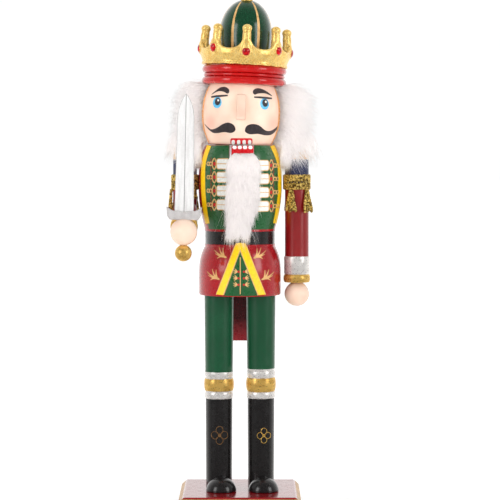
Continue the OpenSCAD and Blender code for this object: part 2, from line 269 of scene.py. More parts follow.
class Round:
    """A turned surface met from the front: radius(height) about the upright axis of a frame."""

    def __init__(self, radius, place=None):
        self.radius = radius
        self.place = place or Matrix()
        self.back = self.place.inverted()

    def point(self, x, z, out=0.0):
        spot = self.back @ Vector((x, 0, z))
        r = self.radius(spot.z)
        across = max(-0.995 * r, min(0.995 * r, spot.x))
        spot = Vector((across, -sqrt(r * r - across * across), spot.z))
        slope = (self.radius(spot.z + 0.2) - self.radius(spot.z - 0.2)) / 0.4
        normal = Vector((spot.x, spot.y, -r * slope)).normalized()
        return self.place @ (spot + normal * out)


class Flat:
    """An upright surface at one depth, met from the front: depth(z) is its y."""

    def __init__(self, depth):
        self.depth = depth

    def point(self, x, z, out=0.0):
        return Vector((x, self.depth(z) - out, z))


def smooth_loop(points, steps=6, closed=True):
    """A Catmull-Rom curve through given points [x, z]."""
    count = len(points)
    out = []
    for i in range(count if closed else count - 1):
        if closed:
            four = [points[(i + k) % count] for k in (-1, 0, 1, 2)]
        else:
            four = [points[max(0, min(count - 1, i + k))] for k in (-1, 0, 1, 2)]
        a, b, c, d = (Vector(p) for p in four)
        for s in range(steps):
            t = s / steps
            curve = 2 * b + (c - a) * t + (2 * a - 5 * b + 4 * c - d) * t * t
            out.append(tuple((curve + (3 * b - a - 3 * c + d) * t * t * t) / 2))
    if not closed:
        out.append(tuple(points[-1]))
    return out


def oval(x, z, rx, rz, tilt=0, steps=28):
    """An ellipse's outline in the front view."""
    c, s = cos(radians(tilt)), sin(radians(tilt))
    out = []
    for i in range(steps):
        a = tau * i / steps
        u, v = rx * cos(a), rz * sin(a)
        out.append((x + u * c - v * s, z + u * s + v * c))
    return out


def slab(x0, x1, z0, z1, corner):
    """A rectangle with round corners in the front view."""
    steps = 4
    out = []
    for cx, cz, first in ((x1, z1, 0), (x0, z1, 90), (x0, z0, 180), (x1, z0, 270)):
        for i in range(steps + 1):
            a = radians(first + 90 * i / steps)
            inner_x = cx - corner if cx == x1 else cx + corner
            inner_z = cz - corner if cz == z1 else cz + corner
            out.append((inner_x + corner * cos(a), inner_z + corner * sin(a)))
    return out


def stroke(points, widths):
    """The outline of a brush stroke along points [x, z]; widths is one number or one for each point."""
    count = len(points)
    if not isinstance(widths, (list, tuple)):
        widths = [widths] * count
    left, right = [], []
    for i, p in enumerate(points):
        ahead = Vector(points[min(count - 1, i + 1)])
        behind = Vector(points[max(0, i - 1)])
        along = (ahead - behind).normalized()
        side = Vector((-along.y, along.x)) * widths[i] / 2
        left.append(tuple(Vector(p) + side))
        right.append(tuple(Vector(p) - side))
    return right + left[::-1]


def patch(outline, surface, proud=0.1, sunk=0.3, cell=1.4):
    """A closed flake of paint: a front-view outline laid on a surface."""
    area = sum(a[0] * b[1] - b[0] * a[1] for a, b in zip(outline, outline[1:] + outline[:1]))
    bm = bmesh.new()
    bm.faces.new([bm.verts.new((x, 0, z)) for x, z in (outline if area > 0 else outline[::-1])])
    bm.normal_update()
    bmesh.ops.triangulate(bm, faces=bm.faces[:])
    for axis in (0, 2):
        first = min(v.co[axis] for v in bm.verts)
        last = max(v.co[axis] for v in bm.verts)
        cuts = int((last - first) / cell)
        for i in range(1, cuts + 1):
            at = Vector()
            at[axis] = first + (last - first) * i / (cuts + 1)
            way = Vector()
            way[axis] = 1
            everything = bm.verts[:] + bm.edges[:] + bm.faces[:]
            bmesh.ops.bisect_plane(bm, geom=everything, plane_co=at, plane_no=way, dist=1e-5)
    bm.verts.index_update()
    count = len(bm.verts)
    flat = [(v.co.x, v.co.z) for v in bm.verts]
    faces = [tuple(v.index for v in f.verts) for f in bm.faces]
    rim = []
    for f in bm.faces:
        for loop in f.loops:
            if loop.edge.is_boundary:
                rim.append((loop.vert.index, loop.link_loop_next.vert.index))
    bm.free()
    verts = [surface.point(x, z, proud) for x, z in flat] + [surface.point(x, z, -sunk) for x, z in flat]
    faces += [tuple(i + count for i in f[::-1]) for f in faces]
    faces += [(b, a, a + count, b + count) for a, b in rim]
    return verts, faces


def line(points, surface, radius, closed=False):
    """A raised line of paint or thread along front-view points."""
    return tube([surface.point(x, z, 0.1) for x, z in points], radius, 6, closed)


# ---- materials

def srgb(r, g, b):
    """A colour given as it looks, from 0 to 255, as linear light."""
    def linear(c):
        c /= 255
        return c / 12.92 if c < 0.04045 else ((c + 0.055) / 1.055) ** 2.4
    return linear(r), linear(g), linear(b), 1.0


class Paint:
    """A node material on one Principled shader. Sizes in its textures are millimetres."""

    def __init__(self, name, **values):
        self.material = bpy.data.materials.new(name)
        self.material.use_nodes = True
        self.tree = self.material.node_tree
        self.shader = self.tree.nodes["Principled BSDF"]
        self.spot = self.tree.nodes.new("ShaderNodeTexCoord").outputs["Object"]
        for socket, value in values.items():
            title = socket.replace("_", " ").title().replace("Ior", "IOR")
            self.shader.inputs[title].default_value = value

    def node(self, kind, **settings):
        made = self.tree.nodes.new(kind)
        for key, value in settings.items():
            setattr(made, key, value)
        return made

    def link(self, source, target):
        self.tree.links.new(source, target)

    def noise(self, size, detail=3.0, stretch=(1, 1, 1)):
        """Cloudy values with features of about this size, stretched along some axes."""
        mapping = self.node("ShaderNodeMapping")
        mapping.inputs["Scale"].default_value = [1 / s for s in stretch]
        texture = self.node("ShaderNodeTexNoise")
        texture.inputs["Scale"].default_value = 1 / (size * MM)
        texture.inputs["Detail"].default_value = detail
        self.link(self.spot, mapping.inputs["Vector"])
        self.link(mapping.outputs["Vector"], texture.inputs["Vector"])
        return texture.outputs["Fac"]

    def cells(self, size):
        """A random value for each flake of about this size."""
        texture = self.node("ShaderNodeTexVoronoi")
        texture.inputs["Scale"].default_value = 1 / (size * MM)
        self.link(self.spot, texture.inputs["Vector"])
        return texture.outputs["Color"]

    def spread(self, value, low_out, high_out, low_in=0.35, high_in=0.65):
        """Stretch the middle of a texture's values to a range."""
        ranger = self.node("ShaderNodeMapRange")
        for socket, number in zip(("From Min", "From Max", "To Min", "To Max"),
                                  (low_in, high_in, low_out, high_out)):
            ranger.inputs[socket].default_value = number
        self.link(value, ranger.inputs["Value"])
        return ranger.outputs["Result"]

    def mix(self, factor, first, second):
        """Blend two colours, each a colour or a node's output."""
        mixer = self.node("ShaderNodeMix", data_type="RGBA")
        self.link(factor, mixer.inputs["Factor"])
        for socket, value in (("A", first), ("B", second)):
            target = [s for s in mixer.inputs if s.name == socket and s.type == "RGBA"][0]
            if isinstance(value, tuple):
                target.default_value = value
            else:
                self.link(value, target)
        return [s for s in mixer.outputs if s.type == "RGBA"][0]

    def clouds(self, size, first, second, detail=3.0, stretch=(1, 1, 1), low=0.35, high=0.65):
        """Two colours in soft patches of about this size."""
        return self.mix(self.spread(self.noise(size, detail, stretch), 0, 1, low, high), first, second)

    def colour(self, source):
        self.link(source, self.shader.inputs["Base Color"])

    def rough(self, size, low, high, detail=3.0, stretch=(1, 1, 1)):
        """A roughness that drifts between two values."""
        self.link(self.spread(self.noise(size, detail, stretch), low, high), self.shader.inputs["Roughness"])

    def bump(self, size, depth, detail=3.0, stretch=(1, 1, 1), after=None):
        """Raise the surface by up to depth; after is an earlier bump that this one adds to."""
        made = self.node("ShaderNodeBump")
        made.inputs["Strength"].default_value = 1.0
        made.inputs["Distance"].default_value = depth * MM
        self.link(self.noise(size, detail, stretch), made.inputs["Height"])
        if after:
            self.link(after, made.inputs["Normal"])
        self.link(made.outputs["Normal"], self.shader.inputs["Normal"])
        return made.outputs["Normal"]


def shade(colour, factor):
    """A colour made darker or lighter."""
    return tuple(min(1.0, c * factor) for c in colour[:3]) + (1.0,)


def lacquer(name, colour, gloss=0.3, coat=0.5, drift=0.16):
    """Brushed lacquer on turned wood: slow drifts of colour, faint turning lines and orange peel."""
    paint = Paint(name, coat_weight=coat, coat_roughness=0.12, coat_ior=1.45)
    patchy = paint.clouds(14, shade(colour, 1 - drift), shade(colour, 1 + drift))
    paint.colour(paint.clouds(0.9, shade(colour, 0.88), patchy, 4))
    paint.rough(3, gloss - 0.06, gloss + 0.08)
    rings = paint.bump(2.2, 0.009, 2, (6, 6, 0.35))
    paint.bump(1.4, 0.006, 1, after=rings)
    return paint.material


def metal_paint(name, colour, dark, flake=0.35, rough=0.36, depth=0.006, metallic=0.5, grain=(2, 2, 0.7)):
    """Metallic paint brushed on wood: streaks, thin spots and fine flakes, each flake a little lighter or
    darker, partly its own tone and partly painted glint.
    """
    paint = Paint(name, metallic=metallic)
    base = paint.clouds(2.6, dark, colour, 4, grain, 0.3, 0.62)
    # flakes painted lighter or darker: partly flake tone, partly painted glints
    flakes = paint.spread(paint.cells(flake), 0, 1, 0.1, 0.9)
    flake_tone_and_glint = paint.mix(flakes, shade(colour, 0.86), shade(colour, 1.2))
    paint.colour(paint.mix(paint.spread(paint.noise(0.8), 0, 0.4), base, flake_tone_and_glint))
    paint.rough(1.5, rough - 0.06, rough + 0.08)
    paint.bump(1.6, depth, 1, grain)
    return paint.material


def detail_paint(name, colour, rough=0.42, drift=0.1):
    """A small area of brushed paint, a little uneven."""
    paint = Paint(name, coat_weight=0.2, coat_roughness=0.25)
    paint.colour(paint.clouds(1.2, shade(colour, 1 - drift), shade(colour, 1 + drift), 4))
    paint.rough(0.9, rough - 0.06, rough + 0.08)
    paint.bump(0.7, 0.03)
    return paint.material


def skin(name, blushes, tone=1.0):
    """Satin flesh paint; each blush is (centre, radius, strength) in the frame."""
    base, warm = shade(srgb(242, 214, 193), tone), shade(srgb(238, 204, 182), tone)
    rosy = srgb(238, 140, 122)
    paint = Paint(name, coat_weight=0.25, coat_roughness=0.2, subsurface_weight=0.06,
                  subsurface_radius=(0.004, 0.002, 0.001), subsurface_scale=0.4)
    colour = paint.clouds(9, base, warm)
    for centre, radius, strength in blushes:
        away = paint.node("ShaderNodeVectorMath", operation="DISTANCE")
        away.inputs[1].default_value = [c * MM for c in centre]
        paint.link(paint.spot, away.inputs[0])
        glow = paint.spread(away.outputs["Value"], strength, 0, 0, radius * MM)
        glow.node.interpolation_type = "SMOOTHERSTEP"
        colour = paint.mix(glow, colour, rosy)
    paint.colour(colour)
    paint.rough(2, 0.36, 0.48)
    rings = paint.bump(2.4, 0.015, 3, (6, 6, 0.4))
    paint.bump(0.8, 0.012, 2, after=rings)
    return paint.material


def cast_gold(name):
    """Cast resin with a gold finish, cloudy and rubbed brighter in places."""
    paint = Paint(name, metallic=0.5)
    cloudy = paint.clouds(3.2, srgb(236, 188, 98), srgb(255, 216, 126), 4)
    rubbed = paint.spread(paint.noise(1.1), 0, 0.5, 0.45, 0.7)
    paint.colour(paint.mix(rubbed, cloudy, srgb(255, 234, 160)))
    paint.rough(1.4, 0.2, 0.34, 4)
    paint.bump(3.5, 0.05, 1)
    return paint.material


def gem(name):
    """A clear red stone, foiled behind; the glints of its facets are painted into its colour as bright and
    dark red patches.
    """
    paint = Paint(name, roughness=0.06, ior=1.75, coat_weight=1.0, coat_roughness=0.02,
                  specular_tint=srgb(255, 220, 220))
    # painted glints: patches of the stone painted bright or dark red
    painted_flash = paint.spread(paint.cells(1.3), 0, 1, 0.15, 0.85)
    paint.colour(paint.mix(painted_flash, srgb(120, 2, 8), srgb(214, 12, 22)))
    return paint.material


def fur(name, tint):
    """White plush: each hair a little warmer or cooler, lighter where the light comes through, with a faint
    glow painted in as painted light for the light scattered between the hairs.
    """
    # the emission is painted light: a faint glow for light scattered between the hairs
    paint = Paint(name, roughness=0.7, sheen_weight=0.3, sheen_roughness=0.5,
                  emission_color=srgb(255, 236, 228), emission_strength=0.015,
                  subsurface_weight=0.8, subsurface_radius=(0.006, 0.0058, 0.0056), subsurface_scale=1.0)
    fine = paint.clouds(0.5, shade(tint, 0.95), shade(tint, 1.03), 2, (1, 1, 8))
    paint.colour(paint.mix(paint.spread(paint.noise(5), 0, 0.5), fine, srgb(255, 250, 247)))
    paint.bump(0.35, 0.05, 2, (1, 1, 10))
    return paint.material


def thread(name, colour, dark):
    """Metallic thread: painted glints between painted shade in the gaps, laid into its colour as bright and
    dark patches.
    """
    paint = Paint(name, metallic=0.6)
    # colour is painted light: bright glints and the shaded gaps between the cords
    paint.colour(paint.clouds(1.0, dark, colour, low=0.42, high=0.56))
    paint.rough(0.4, 0.22, 0.5)
    paint.bump(0.3, 0.1, 2)
    return paint.material


def wood(name):
    """Plain beech with short dark flecks."""
    paint = Paint(name)
    grain = paint.clouds(1.4, srgb(186, 146, 100), srgb(222, 188, 142), 5, (1, 1, 14))
    paint.colour(paint.clouds(0.5, grain, srgb(140, 98, 62), 2, (1, 1, 6), 0.62, 0.7))
    paint.rough(1, 0.5, 0.65)
    paint.bump(0.5, 0.04, 3, (1, 1, 12))
    return paint.material


def steel(name):
    """Turned steel with fine rings."""
    paint = Paint(name, metallic=1.0)
    paint.colour(paint.clouds(2, srgb(150, 152, 156), srgb(190, 191, 194)))
    paint.rough(0.5, 0.25, 0.42, 3, (6, 6, 0.3))
    paint.bump(0.4, 0.01, 2, (8, 8, 0.3))
    return paint.material


def lever_red_painted_shade(name):
    """Maroon lacquer, painted darker above as painted shade from the coat and legs, and redder below as
    painted light where the lever's bent end faces the lamps.
    """
    paint = Paint(name, coat_weight=0.5, coat_roughness=0.12)
    height = paint.node("ShaderNodeSeparateXYZ")
    paint.link(paint.spot, height.inputs["Vector"])
    # painted shade above this height, painted light below it
    tail = paint.spread(height.outputs["Z"], 0, 1, 0.112, 0.102)
    upper = paint.clouds(1.2, srgb(58, 10, 16), srgb(74, 14, 20), 4)
    lower = paint.clouds(1.2, srgb(122, 24, 32), srgb(150, 34, 42), 4)
    paint.colour(paint.mix(tail, upper, lower))
    paint.rough(3, 0.24, 0.4)
    paint.bump(1.1, 0.014, 2)
    return paint.material


def iris(name):
    """Sky-blue eye paint, lighter in patches."""
    paint = Paint(name, coat_weight=0.4, coat_roughness=0.1)
    paint.colour(paint.clouds(0.9, srgb(66, 170, 222), srgb(116, 198, 232)))
    paint.rough(1, 0.25, 0.35)
    paint.bump(0.5, 0.02)
    return paint.material


LEFT_CHEEK = Vector((-17.4, -13.8, 223.5))
RIGHT_CHEEK = Vector((18.8, -12.5, 223.0))

RED = lacquer("red_lacquer", srgb(160, 20, 28), gloss=0.24, coat=0.7)
SLEEVE_RED = lacquer("sleeve_red", srgb(138, 12, 16), gloss=0.36, coat=0.35)
DARK_RED = lacquer("dark_red", srgb(72, 14, 20), gloss=0.32)
# darker above and redder below: painted shade and painted light
LEVER_RED = lever_red_painted_shade("lever_red_painted_shade")
HAT_RED = lacquer("hat_red", srgb(188, 14, 14), gloss=0.2, coat=0.7, drift=0.08)
GREEN = lacquer("green_lacquer", srgb(14, 76, 46), gloss=0.34, coat=0.35)
PANEL_GREEN = lacquer("panel_green", srgb(32, 90, 48), gloss=0.3)
DOME_GREEN = lacquer("dome_green", srgb(12, 60, 36), gloss=0.22, coat=0.8, drift=0.1)
BLACK = lacquer("black_lacquer", srgb(27, 25, 25), gloss=0.26, coat=0.5, drift=0.2)
BLUE = lacquer("blue_lacquer", srgb(28, 38, 76), gloss=0.42, coat=0.15)
BASE_RED = lacquer("base_red", srgb(146, 12, 22), gloss=0.16, coat=0.5, drift=0.08)
SKIN = skin("skin_paint", [(LEFT_CHEEK, 8.5, 0.42), (RIGHT_CHEEK, 8.5, 0.4)], 1.01)
NOSE_SKIN = skin("nose_skin", [(Vector((0.5, -26, 228)), 9, 0.14)], 0.9)
HAND_SKIN = skin("hand_skin", [], 0.94)
GOLD = metal_paint("gold_paint", srgb(232, 190, 102), srgb(196, 150, 70), metallic=0.6, rough=0.3)
BRONZE = metal_paint("bronze_paint", srgb(150, 112, 72), srgb(110, 78, 48))
PALE_GOLD = metal_paint("pale_gold_paint", srgb(230, 186, 124), srgb(206, 158, 96), metallic=0.2, rough=0.4)
GOLD_EDGE = metal_paint("edge_gold", srgb(206, 164, 104), srgb(150, 104, 56), rough=0.34, depth=0.04)
SILVER = metal_paint("silver_paint", srgb(240, 236, 232), srgb(214, 209, 205), rough=0.3, metallic=0.55)
BLADE = metal_paint("blade_silver", srgb(238, 237, 236), srgb(220, 218, 217), flake=0.3, metallic=0.3,
                    rough=0.5, grain=(0.5, 0.5, 4))
# darker greys for the blade's edges and groove: painted shade
BLADE_EDGE_SHADE = detail_paint("blade_edge_painted_shade", srgb(176, 172, 172))
BLADE_GROOVE_SHADE = detail_paint("blade_groove_painted_shade", srgb(150, 146, 146))
GUARD = metal_paint("guard_silver", srgb(214, 210, 209), srgb(192, 188, 187), flake=0.3, metallic=0.4,
                    rough=0.42, grain=(1, 1, 1))
CAST_GOLD = cast_gold("gold_cast")
RUBY = gem("ruby")
FUR = fur("white_fur", srgb(252, 246, 245))
# the thread's bright colour is painted glint, its dark colour painted shade in the gaps
THREAD = thread("gold_braid", srgb(250, 216, 120), srgb(104, 78, 30))
WOOD = wood("bare_wood")
STEEL = steel("steel")
YELLOW = detail_paint("yellow_paint", srgb(250, 200, 0))
WHITE = detail_paint("white_paint", srgb(232, 232, 226))
TOOTH = detail_paint("tooth_paint", srgb(250, 244, 242), rough=0.3)
LIP = detail_paint("lip_paint", srgb(206, 26, 34), rough=0.3)
DEEP_RED = detail_paint("deep_red_paint", srgb(150, 24, 30))
DOT_RED = detail_paint("dot_red_paint", srgb(190, 20, 24), rough=0.35)
HAIR_BLACK = detail_paint("brow_paint", srgb(52, 44, 46), rough=0.45, drift=0.2)
CONTOUR = detail_paint("contour_paint", srgb(222, 156, 96), rough=0.5)
IRIS = iris("iris_paint")


# ---- surfaces of the turned parts

def head_radius(z):
    return barrel(z, HEAD_H, 17.9, 22.2, 18.8, 2.2, 2.4)


def coat_radius(z):
    """Skirt, belt and chest; the skirt widens fast under the belt and then hangs straight."""
    if z > CHEST_Z:
        return barrel(z - CHEST_Z, NECK_Z - CHEST_Z, BELT_R, 23.4, BELT_R, 1.8, 3.2)
    if z > BELT_Z:
        return BELT_R
    drop = min(1, (BELT_Z - z) / 16)
    edge = max(0, 1 - (z - SKIRT_Z))
    return BELT_R + 3.5 * (1 - (1 - drop) ** 2.5) - 0.35 * edge ** 1.5


COAT = Round(coat_radius)
FACE = Round(head_radius, HEAD)


# ---- base and legs

def base():
    """A square block with its top edge bevelled, red on top and gold round the sides."""
    shape = Shape()
    half, bevel = BASE_HALF, 3.2
    levels = [(half, 0, 1), (half, BASE_TOP - bevel, 1), (half - bevel + 0.8, BASE_TOP - 0.8, 0),
              (half - bevel, BASE_TOP, 0)]
    verts = [(sx * r, sy * r, z) for r, z, _ in levels for sx, sy in ((-1, -1), (1, -1), (1, 1), (-1, 1))]
    shape.add((verts, caps(4, 4) + walls(4, 4), [1, 0] + [1] * 8 + [0] * 4))
    piece = shape.build("base_block", [BASE_RED, GOLD_EDGE], "figure", "red_lacquer", ["base"], sharp=20)
    soften(piece, 0.55)


def leg(name, x, levels, seed):
    """A leg turned in one: boot, three trim beads and trouser. Levels are the paint's four edges."""
    bottom, ring_bottom, ring_top, top = levels
    silver = (TROUSER_Z - TRIM_Z) / 4
    rows = [(7.0, BASE_TOP, 0), (7.3, BASE_TOP + 0.5, 0)]
    rows += [(7.3 + 0.3 * i / 8, BASE_TOP + 0.5 + (TRIM_Z - 0.5 - BASE_TOP) * i / 8, 0) for i in range(1, 9)]
    for z, height, bulge, paint in ((TRIM_Z, silver, 0.55, 1), (TRIM_Z + silver, 2 * silver, 0.9, 2),
                                    (TROUSER_Z - silver, silver, 0.55, 1)):
        rows += arc(7.55, z + height / 2, bulge, height / 2, -90, 90, 10, paint)
    rows += [(7.8 + 0.4 * i / 8, TROUSER_Z + (SKIRT_Z - TROUSER_Z) * i / 8, 3) for i in range(9)]

    def paint_for(z):
        for limit, paint in ((bottom, 0), (ring_bottom, 1), (ring_top, 2), (top, 1)):
            if z < limit:
                return paint
        return 3

    painted = []
    for i, (r, z, _) in enumerate(rows):
        ahead = rows[min(i + 1, len(rows) - 1)][1]
        for limit in sorted(levels):
            if z < limit < ahead:
                share = (limit - z) / (ahead - z)
                painted.append((r, z, paint_for(z + 0.01)))
                r, z = r + (rows[i + 1][0] - r) * share, limit
        painted.append((r, z, paint_for(z + 0.01)))
    edges = [j for j, row in enumerate(painted) if row[1] in levels]

    def wobble(angle, row):
        if row not in edges:
            return 0
        return 0.25 * noise.noise(Vector((2 * cos(angle), 2 * sin(angle), seed + row)))

    at = shift(x, 0, 0)
    shape = Shape().add(turned(painted, 96, wobble), place=at)
    shape.build(name, [BLACK, SILVER, GOLD, GREEN], "figure", "green_lacquer", [name.replace("_turned", "")])


BOOT_R = 7.45


def flower(name, x, z, rx, rz, paint):
    """Four gold rings and a gold middle, painted on a boot."""
    boot = Round(lambda height: BOOT_R, shift(copysign(LEG_X, x), 0, 0))
    shape = Shape()
    for ux, uz in ((0, 1), (0, -1), (1, 0), (-1, 0)):
        ring = oval(x + ux * rx * 0.56, z + uz * rz * 0.56, rx * 0.42, rz * 0.42, 0, 24)
        shape.add(line(ring, boot, 0.18, True))
    shape.add(patch(oval(x, z, rx * 0.2, rz * 0.2), boot, 0.25))
    shape.build(name, [paint], "figure", "gold_paint")


def toe(name, node):
    """A round toe cap, its rim turned under where it meets the base."""
    centre = middle(node)
    reach = (high(node).x - low(node).x) / 2
    tall = high(node).z - BASE_TOP
    rows = [(reach - 0.5, 0), (reach - 0.1, 0.35)]
    rows += [(reach * cos(radians(a)) ** 0.95, tall * sin(radians(a)))
             for a in range(6, 90, 4)]
    rows.append((0.05, tall))
    front = low(node).y + reach
    shape = Shape().add(turned(rows, 64), place=shift(centre.x, front, BASE_TOP))
    shape.build(name, [BLACK], "figure", "black_lacquer", [node])


def legs():
    leg("left_leg_turned", LEG_X, [69.1, 72.9, 80.6, 85.7], 3)
    leg("right_leg_turned", -LEG_X, [68.9, 73.2, 80.1, 83.9], 11)
    flower("left_boot_flower", LEG_X + 1.6, 48.6, 3.8, 4.3, GOLD)
    flower("right_boot_flower", 0.4 - LEG_X, 48.8, 4.6, 5.1, BRONZE)
    toe("left_toe_cap", "left_toe")
    toe("right_toe_cap", "right_toe")


# ---- coat

SLOT = (1 - 6.8, 1 + 6.8)
SLOT_Z = NECK_Z - 34.3


def coat():
    """The turned body, with the slot sawn through it for the jaw."""
    rows = [(0.05, SKIRT_Z, 0)]
    steps = [0, 0.15, 0.4, 0.8, 1.4] + [2 + i * 1.1 for i in range(24)]
    rows += [(coat_radius(SKIRT_Z + s), SKIRT_Z + s, 0) for s in steps if SKIRT_Z + s < BELT_Z - 0.5]
    rows += [(19.75, BELT_Z - 0.3, 0), (19.95, BELT_Z, 0), (19.95, BELT_Z + 0.7, 0)]
    rows += [(BELT_R, BELT_Z + 0.9, 1)]
    rows += [(BELT_R, CHEST_Z - 0.6, 1), (19.9, CHEST_Z - 0.4, 0), (19.95, CHEST_Z + 0.5, 0)]
    rows += [(coat_radius(CHEST_Z + s), CHEST_Z + s, 0) for s in
             [0.9 + i * (NECK_Z - CHEST_Z - 1.2) / 40 for i in range(41)]]
    rows += [(19.2, NECK_Z - 0.05, 0), (0.05, NECK_Z, 0)]
    shape = Shape().add(turned(rows, 160))
    piece = shape.build("coat_turned", [RED, BLACK, DARK_RED], "figure", "red_lacquer", ["coat"])
    cutter_mesh = bpy.data.meshes.new("slot_cutter")
    box = bmesh.new()
    bmesh.ops.create_cube(box, size=1)
    bmesh.ops.scale(box, vec=Vector((SLOT[1] - SLOT[0], 80, 60)) * MM, verts=box.verts)
    bmesh.ops.translate(box, vec=Vector(((SLOT[0] + SLOT[1]) / 2, 0, SLOT_Z + 30)) * MM, verts=box.verts)
    box.to_mesh(cutter_mesh)
    box.free()
    cutter_mesh.materials.append(DARK_RED)
    cutter = scene_object("slot_cutter", cutter_mesh)
    cut = piece.modifiers.new("slot", "BOOLEAN")
    cut.object = cutter
    cut.solver = "EXACT"
    cut.material_mode = "TRANSFER"
    bake_modifiers(piece)
    piece.data.set_sharp_from_angle(angle=radians(38))
    bpy.data.objects.remove(cutter)


def chest_panel():
    """The green front with its yellow edging."""
    left = [(-17.1, 210.9), (-19.6, 203.6), (-20.4, 197), (-20.2, 184), (-18.9, 172), (-17.2, 164.3)]
    right = [(18.0, 210.9), (21.2, 203.6), (22.3, 197), (22.3, 184), (20.6, 172), (18.9, 164.3)]
    left, right = smooth_loop(left, 4, False), smooth_loop(right, 4, False)
    slot = [(SLOT[1] + 0.15, 211), (SLOT[1] + 0.15, SLOT_Z - 0.15), (SLOT[0] - 0.15, SLOT_Z - 0.15),
            (SLOT[0] - 0.15, 211)]
    shape = Shape()
    shape.add(patch(left + right[::-1] + slot, COAT, 0.08, 0.3), 0)
    for edge in (left, right):
        shape.add(patch(stroke([p for p in edge if p[1] > 167], 2.35), COAT, 0.2, 0.3), 1)
    shape.build("chest_panel", [PANEL_GREEN, YELLOW], "figure", "green_lacquer")


def frog(shape, x_in, x_out, z, side):
    """One fastening: a striped bar, a pointed loop with a red heart, and a small figure of eight."""
    span = abs(x_out - x_in)
    mid = (x_in + x_out) / 2
    half = 2.95
    shape.add(patch(slab(mid - span / 2, mid + span / 2, z - half, z + half, 1.0), COAT, 0.18), 0)
    for dz in (-half + 0.12, 0, half - 0.12):
        end = x_out + side * (-0.7 if dz else 0.1)
        shape.add(line([(x_in + (end - x_in) * i / 5, z + dz) for i in range(6)], COAT, 0.26), 1)
    cap = [(x_out - side * 0.7, z + half - 0.12), (x_out - side * 0.1, z + half - 0.7),
           (x_out, z + half - 1.5), (x_out, z - half + 1.5), (x_out - side * 0.1, z - half + 0.7),
           (x_out - side * 0.7, z - half + 0.12)]
    shape.add(line(cap, COAT, 0.26), 1)
    leaf = x_out + side * 1.35
    points = [(leaf, z + 3.1), (leaf + 0.95, z + 1.3), (leaf + 1.1, z), (leaf + 0.95, z - 1.3),
              (leaf, z - 3.1), (leaf - 0.95, z - 1.3), (leaf - 1.1, z), (leaf - 0.95, z + 1.3)]
    shape.add(line(smooth_loop(points, 4), COAT, 0.36, True), 1)
    heart = [(leaf - side * 1.1, z), (leaf + side * 0.1, z + 1.1), (leaf + side * 0.6, z),
             (leaf + side * 0.1, z - 1.1)]
    shape.add(patch(smooth_loop(heart, 4), COAT, 0.22), 2)
    for offset, size in ((2.05, 0.85), (3.35, 0.72)):
        ring = oval(leaf + side * offset, z, size, 0.95, 0, 18)
        shape.add(line(ring, COAT, 0.32, True), 1)


def thread_line(shape, x, z_top, z_bottom):
    """The dark red wavy thread that runs from fastening to fastening."""
    count = 30
    points = []
    for i in range(count + 1):
        z = z_top + (z_bottom - z_top) * i / count
        points.append((x + 0.42 * sin(2.6 * z), z))
    shape.add(line(points, COAT, 0.22), 3)


def fastenings():
    shape = Shape()
    for z in (200.7, 193.3, 185.8, 178.1):
        frog(shape, -6.3, -12.7, z, -1)
        frog(shape, 8.4, 16.0, z - 0.9, 1)
    thread_line(shape, -15.9, 204, 174.6)
    thread_line(shape, 18.6, 203.2, 173.8)
    shape.build("coat_fastenings", [WHITE, PALE_GOLD, DOT_RED, DEEP_RED], "figure", "gold_paint")


def sprig(shape, x, z, side):
    """Five tapering leaves that fan out from one point."""
    stem = (x + side * 1.2, z + 0.5)
    leaves = ((1.9, 5.3, 0.5), (4.1, 5.6, 0.7), (6.9, 4.0, 0.5), (6.3, 2.0, 0.2), (5.2, -0.6, -0.5))
    for du, dv, bend in leaves:
        tip = (x + side * du, z + dv)
        mid = ((stem[0] + tip[0]) / 2 + side * 0.25, (stem[1] + tip[1]) / 2 - bend)
        path = smooth_loop([(x, z), stem, mid, tip], 4, False)
        count = len(path)
        widths = [0.55 + 0.5 * sin(pi * min(1, 1.25 * i / count)) - 0.5 * (i / count) ** 3
                  for i in range(count)]
        shape.add(patch(stroke(path, widths), COAT, 0.14), 1)


def tuft(shape, x, z, side):
    """A little fan of gold leaves with a red berry."""
    for degrees, length in ((52, 2.5), (22, 2.6), (-8, 2.3), (-38, 2.4)):
        a = radians(degrees)
        start = (x + side * 0.5, z)
        tip = (x + side * (0.6 + length * cos(a)), z + length * sin(a) * 0.9)
        mid = ((start[0] + tip[0]) / 2, (start[1] + tip[1]) / 2)
        shape.add(patch(stroke([start, mid, tip], [0.35, 0.55, 0.2]), COAT, 0.2), 1)
    shape.add(patch(oval(x, z, 0.62, 0.62), COAT, 0.3), 2)


